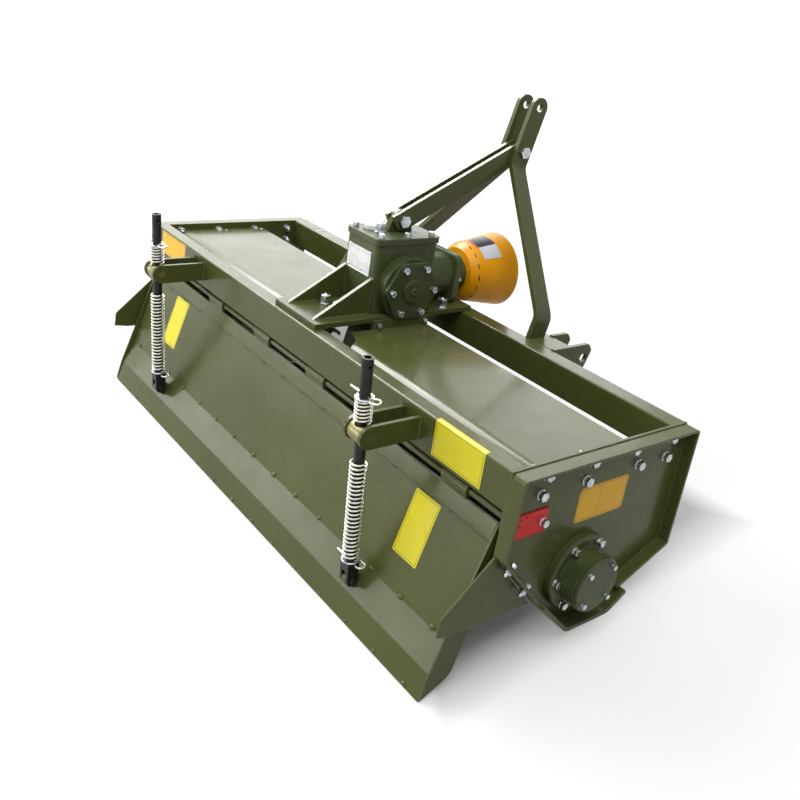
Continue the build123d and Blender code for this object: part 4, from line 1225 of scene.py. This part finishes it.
# %% [markdown]
# One film was put on too high and folds over the rear beam's top edge. Two films that meet at the edge
# would show a gap, so it is one plane: its upper edge is extruded over the beam, the fold is bevelled to
# the beam's own corner, and a Solidify modifier gives it its thickness last, so that the bend has an even
# wall.

# %% The film that folds over the beam
BEAM_TOP = 254
BEAM_CORNER = 4
FOLDED_WIDTH = 135
FOLDED_FALL = 71
FOLDED_OVER = 11
FOLDED_X = 590


def thicken(piece, thick):
    """Give a sheet its thickness, outwards."""
    wall = piece.modifiers.new("thickness", "SOLIDIFY")
    wall.thickness = thick * MM
    wall.offset = 1
    only(piece)
    bpy.ops.object.modifier_apply(modifier="thickness")


def on_fold(first, last):
    """The test for the edge that the film folds over."""
    top = FOLDED_FALL / 2 * MM
    return all(abs(end.y - top) < TOUCHING and abs(end.z) < TOUCHING for end in (first, last))


folded = start(bpy.ops.mesh.primitive_plane_add, "beam_film_right", size=1)
folded.data.materials.append(film_lemon)
folded.data.materials.append(film_line)
everything(folded)
bpy.ops.transform.resize(value=(FOLDED_WIDTH * MM, FOLDED_FALL * MM, 1))
printed_line(folded, LINE_MARGIN, LINE_WIDTH)
done()
choose_edges(folded, on_fold)
bpy.ops.mesh.extrude_region_move(TRANSFORM_OT_translate={"value": (0, 0, -FOLDED_OVER * MM)})
done()
choose_edges(folded, on_fold)
bpy.ops.mesh.bevel(offset=BEAM_CORNER * MM, segments=CORNER_STEPS, affect="EDGES")
bpy.ops.mesh.select_all(action="SELECT")
bpy.ops.mesh.normals_make_consistent(inside=False)
done()
thicken(folded, FILM)
folded.matrix_world = at((FOLDED_X, REAR_FACE, BEAM_TOP - FOLDED_FALL / 2), RIGHT, BEHIND)
settle(folded, "frame", "guard_plastic")
print("folded film of", len(folded.data.polygons), "faces")

# %% [markdown]
# The data plate on the gearbox is a bare sheet of aluminium on four rivets. It starts as the same flat
# piece as the films do. A pressed plate has a raised rim, so its face is inset and sunk before the line is
# printed. The rivets are small domes. They could be spheres, but the dab of weld already has the right
# form.

# %% The data plate
DATA_PLATE = (89, 57, 1.0)
DATA_PLATE_AT = (-4.5, BOX_REAR, 376)
PLATE_RIM, PLATE_RECESS = 2, 0.3
PLATE_LINE = (5, 0.7)       # margin and width
PLATE_CORNER = 2
RIVET_INSET = 5
RIVET_RADIUS = 2.4

plate = flat_piece("data_plate", *DATA_PLATE, plate_aluminium, film_grey)
bpy.ops.mesh.inset(thickness=PLATE_RIM * MM, depth=-PLATE_RECESS * MM)
printed_line(plate, *PLATE_LINE)
round_corners(plate, PLATE_CORNER)
plate.matrix_world = at(DATA_PLATE_AT, RIGHT, BEHIND)
settle(plate, "frame", "zinc_plate")
rivets = []
for across in (-1, 1):
    for upright in (-1, 1):
        x = DATA_PLATE_AT[0] + across * (DATA_PLATE[0] / 2 - RIVET_INSET)
        z = DATA_PLATE_AT[2] + upright * (DATA_PLATE[1] / 2 - RIVET_INSET)
        point = (x, BOX_REAR - DATA_PLATE[2] + PLATE_RECESS, z)
        rivets.append(copied(dab, at(point, RIGHT, BEHIND) @ Matrix.Scale(RIVET_RADIUS * MM, 4)))
settle(joined("data_plate_rivets", rivets), "frame", "zinc_plate", zinc_plate)
print("data plate on", len(rivets), "rivets")

# %% [markdown]
# The red marker on the side plate is a small painted plate under one bolt, with three punched holes. Holes
# could be cut right through with a Boolean, but at this size a dark dot with a sunk middle, a painted shade
# of the hole, reads the same, and it leaves the plate's faces whole.

# %% The marker
MARKER = (77, 48, 3)
MARKER_RIM, MARKER_CROWN = 1.6, 0.4
MARKER_CORNER = 2.5
MARKER_AT = (SIDE_FACE, -153.5, 142)
MARKER_BOLT = (-126, 140)
MARKER_HOLES = [(-182, 158), (-170, 160), (-184, 146)]
HOLE = (4, 4, 0.2)
HOLE_RIM, HOLE_DEPTH, HOLE_CORNER = 1.2, 0.15, 1.9

marker = flat_piece("marker_plate", *MARKER, marker_red)
bpy.ops.mesh.inset(thickness=MARKER_RIM * MM, depth=MARKER_CROWN * MM)
round_corners(marker, MARKER_CORNER)
marker.matrix_world = at(MARKER_AT, AHEAD, RIGHT)
settle(marker, "frame", "guard_plastic")
marker_face = SIDE_FACE + MARKER[2] + MARKER_CROWN
fasteners("marker_bolt", flange_bolt, [((marker_face, *MARKER_BOLT), RIGHT)])
holes = []
for y, z in MARKER_HOLES:
    # painted shade: a dark dot stands for the shade inside each hole, which is not cut
    hole = flat_piece("hole", *HOLE, film_ink_and_shade)
    bpy.ops.mesh.inset(thickness=HOLE_RIM * MM, depth=-HOLE_DEPTH * MM)
    round_corners(hole, HOLE_CORNER)
    hole.matrix_world = at((marker_face, y, z), AHEAD, RIGHT)
    holes.append(hole)
settle(joined("marker_hole_shades", holes), "frame", "guard_plastic")
print("marker with", len(holes), "holes")

# %% [markdown]
# Two short films sit on the front beam's left end. They have no border, so a shallow inset is enough: it
# gives each a slightly raised field, whose edge shows in flat light.

# %% Films on the front beam
FRONT_FILM = (22, 24)
FRONT_FILM_Y = 238
FRONT_FILMS = (("front_film_grey", -633, film_grey), ("front_film_green", -609, film_green))
FRONT_FILM_RIM, FRONT_FILM_CROWN, FRONT_FILM_CORNER = 1.5, 0.1, 1.5

for name, x, coat in FRONT_FILMS:
    piece = flat_piece(name, *FRONT_FILM, FILM, coat)
    bpy.ops.mesh.inset(thickness=FRONT_FILM_RIM * MM, depth=FRONT_FILM_CROWN * MM)
    round_corners(piece, FRONT_FILM_CORNER)
    piece.matrix_world = at((x, FRONT_FILM_Y, BEAM_TOP), RIGHT, UP)
    settle(piece, "frame", "guard_plastic")
print("front films:", len(FRONT_FILMS))

# %% [markdown]
# ## The guard's film and slots
# The film on the guard lies on a cone. A flat one could be wrapped by a Shrinkwrap modifier, which would
# pull its edges crooked. So a cone a hair larger than the guard is added, and the faces that aren't the
# film's are deleted. The guard's two slopes give the cone's radius at both ends of a span.

# %% A cone over the guard
GUARD_SHOULDER_Y = 268
GUARD_FRONT_Y = 378
GUARD_SHOULDER_RADIUS = 74
GUARD_FRONT_RADIUS = 93
GUARD_REAR_Y = 246
GUARD_NECK_RADIUS = 62
FILM_GAP = 0.1              # between the guard and the cone that its film is cut from


def guard_radius(y):
    """The guard's outer radius at a place along its axis."""
    if y > GUARD_SHOULDER_Y:
        share = (y - GUARD_SHOULDER_Y) / (GUARD_FRONT_Y - GUARD_SHOULDER_Y)
        return GUARD_SHOULDER_RADIUS + share * (GUARD_FRONT_RADIUS - GUARD_SHOULDER_RADIUS)
    share = (y - GUARD_REAR_Y) / (GUARD_SHOULDER_Y - GUARD_REAR_Y)
    return GUARD_NECK_RADIUS + share * (GUARD_SHOULDER_RADIUS - GUARD_NECK_RADIUS)


def guard_turn(point):
    """The angle of a point round the guard's axis, from the right-hand side upwards."""
    return degrees(atan2(point.z - SHAFT_AXIS[1] * MM, point.x)) % 360


def guard_cone(name, span, sides, keep, *coats):
    """The faces of a cone over the guard whose turn passes a test."""
    low, high = span
    rear, front = ((guard_radius(y) + FILM_GAP) * MM for y in span)
    cone = start(bpy.ops.mesh.primitive_cone_add, name, vertices=sides, radius1=rear, radius2=front,
                 depth=(high - low) * MM, end_fill_type="NOTHING",
                 location=(0, (low + high) / 2 * MM, SHAFT_AXIS[1] * MM), rotation=(-pi / 2, 0, 0))
    for coat in coats:
        cone.data.materials.append(coat)
    choose(cone, lambda middle, normal: not keep(guard_turn(middle)))
    bpy.ops.mesh.delete(type="FACE")
    bpy.ops.mesh.select_all(action="SELECT")
    bpy.ops.mesh.normals_make_consistent(inside=False)
    done()
    return cone


print("guard radius from", GUARD_SHOULDER_RADIUS, "to", GUARD_FRONT_RADIUS, "mm")

# %% [markdown]
# Three pieces are cut from such cones: the film, whose faces are white or dark by how far round they lie,
# the coral strip along its rear edge, and the short slots round the guard's rear shoulder. Real slots go
# through the wall, and the shade inside them is painted instead as dark strips on it, which look the same
# from outside and need no cut. The dark film colour serves for the film's print and for this painted shade.
# Solidify thickens each piece.

# %% Wrap the guard
GUARD_FILM_SPAN = (284, 335)
GUARD_FILM_TURN = (40, 100)  # degrees
GUARD_WHITE_END = 65
SLOT_SPAN = (263.6, 266)
SLOT_COUNT = 16
SLOT_TURN = 10              # degrees that a slot goes round
SLOT_START = -1
SLOT_THICK = 0.2
CORAL_WIDTH = 6
FILM_SIDES, SLOT_SIDES = 120, 144
WRAP_SHARP = 40


def on_film(turn):
    return GUARD_FILM_TURN[0] < turn < GUARD_FILM_TURN[1]


def on_coral(turn):
    return GUARD_WHITE_END < turn < GUARD_FILM_TURN[1]


def on_slot(turn):
    return (turn - SLOT_START) % (360 / SLOT_COUNT) < SLOT_TURN


def wrap(piece, thick):
    """Finish a piece that was cut from a cone, and hang it on the frame."""
    thicken(piece, thick)
    smooth(piece, WRAP_SHARP)
    settle(piece, "frame", "guard_plastic")


guard_film = guard_cone("guard_film", GUARD_FILM_SPAN, FILM_SIDES, on_film, film_white, film_ink_and_shade)
choose(guard_film, lambda middle, normal: guard_turn(middle) > GUARD_WHITE_END)
coat_faces(guard_film, 1)
done()
wrap(guard_film, FILM)
coral_span = (GUARD_FILM_SPAN[0] - CORAL_WIDTH, GUARD_FILM_SPAN[0])
wrap(guard_cone("guard_film_edge", coral_span, FILM_SIDES, on_coral, film_coral), FILM)
# painted shade: dark strips stand for the shade inside the slots, which are not cut
slots = guard_cone("guard_slot_shades", SLOT_SPAN, SLOT_SIDES, on_slot, film_ink_and_shade)
wrap(slots, SLOT_THICK)
print("guard film of", len(guard_film.data.polygons), "faces, slots of", len(slots.data.polygons))

# %% [markdown]
# ## The cover's seam and the hood's screws
# A line of primer shows where the gearbox cover meets its housing. It could be a stripe in the paint's
# nodes, but that paint is shared by all the castings. So it is a piece of its own: the outline of the
# housing, made from a flat piece with rounded corners whose upper and lower faces are deleted.

# %% Line of primer
BOX_HALF = 63
BOX_FRONT = 126
BOX_CORNER = 14
BOX_TOP = 426
SEAM_HEIGHT = 1.8
SEAM_PROUD = 0.35
SEAM_PRIMER = srgb(140, 96, 52)

seam_finish, tree, shader = new_finish("cover_seam_primer", roughness=0.6)
streak = tint(tree, between(tree, noise(tree, 26, 3), 0.4, 0.6), OLIVE_DEEP, SEAM_PRIMER)
tree.links.new(streak, shader.inputs["Base Color"])
line = flat_piece("cover_seam", 2 * BOX_HALF, BOX_FRONT - BOX_REAR, SEAM_HEIGHT, seam_finish)
round_corners(line, BOX_CORNER)
choose(line, lambda middle, normal: abs(normal.z) > FACING)
bpy.ops.mesh.delete(type="ONLY_FACE")
done()
thicken(line, SEAM_PROUD)
smooth(line, WRAP_SHARP)
line.matrix_world = at((0, (BOX_REAR + BOX_FRONT) / 2, BOX_TOP - SEAM_HEIGHT), RIGHT, UP)
settle(line, "frame", "cast_paint")
print("seam of", len(line.data.polygons), "faces")

# %% [markdown]
# Two small dome-headed screws sit at each outer end of the hood's top. The top slopes a little, so a
# screw's height is worked out from its place and isn't typed. Each is a copy of the dab, which has the
# right form.

# %% Screws in the hood
HOOD_SCREWS = [(700, 94), (700, -19)]
HOOD_TOP = 238
HOOD_SHOULDER = -146
HOOD_FALL = 2 / 250         # slope of the hood's top
SCREW_RADIUS = 2.6

screws = []
for sign in (1, -1):
    for x, y in HOOD_SCREWS:
        height = HOOD_TOP - HOOD_FALL * (y - HOOD_SHOULDER)
        dome = at((sign * x, y, height), RIGHT, UP) @ Matrix.Scale(SCREW_RADIUS * MM, 4)
        screws.append(copied(dab, dome))
settle(joined("hood_screws", screws), "frame", "zinc_plate", zinc_plate)
print("hood screws:", len(screws))

# %% [markdown]
# ## Clear the bench
# The bolts, nuts and the dab of weld were patterns: their copies are on the machine, and each copy has its
# own mesh. They could be hidden, but a hidden piece is still there, so they are removed.

# %% Remove the patterns
patterns = (plate_bolt, flange_bolt, cover_bolt, cap_bolt, plate_nut, base_nut, shield_nut, dab)
for pattern in patterns:
    bpy.data.objects.remove(pattern)
print("removed", len(patterns), "patterns")

# %% [markdown]
# ## The frame's box
# The dressed machine has to stay in the frame's box, apart from the heads that stand on its sides. Looking
# at a view would not tell a millimetre, so the frame's box is printed.

# %% Print the frame's box
print("frame", [round(v, 3) for corner in cad_box for v in corner])
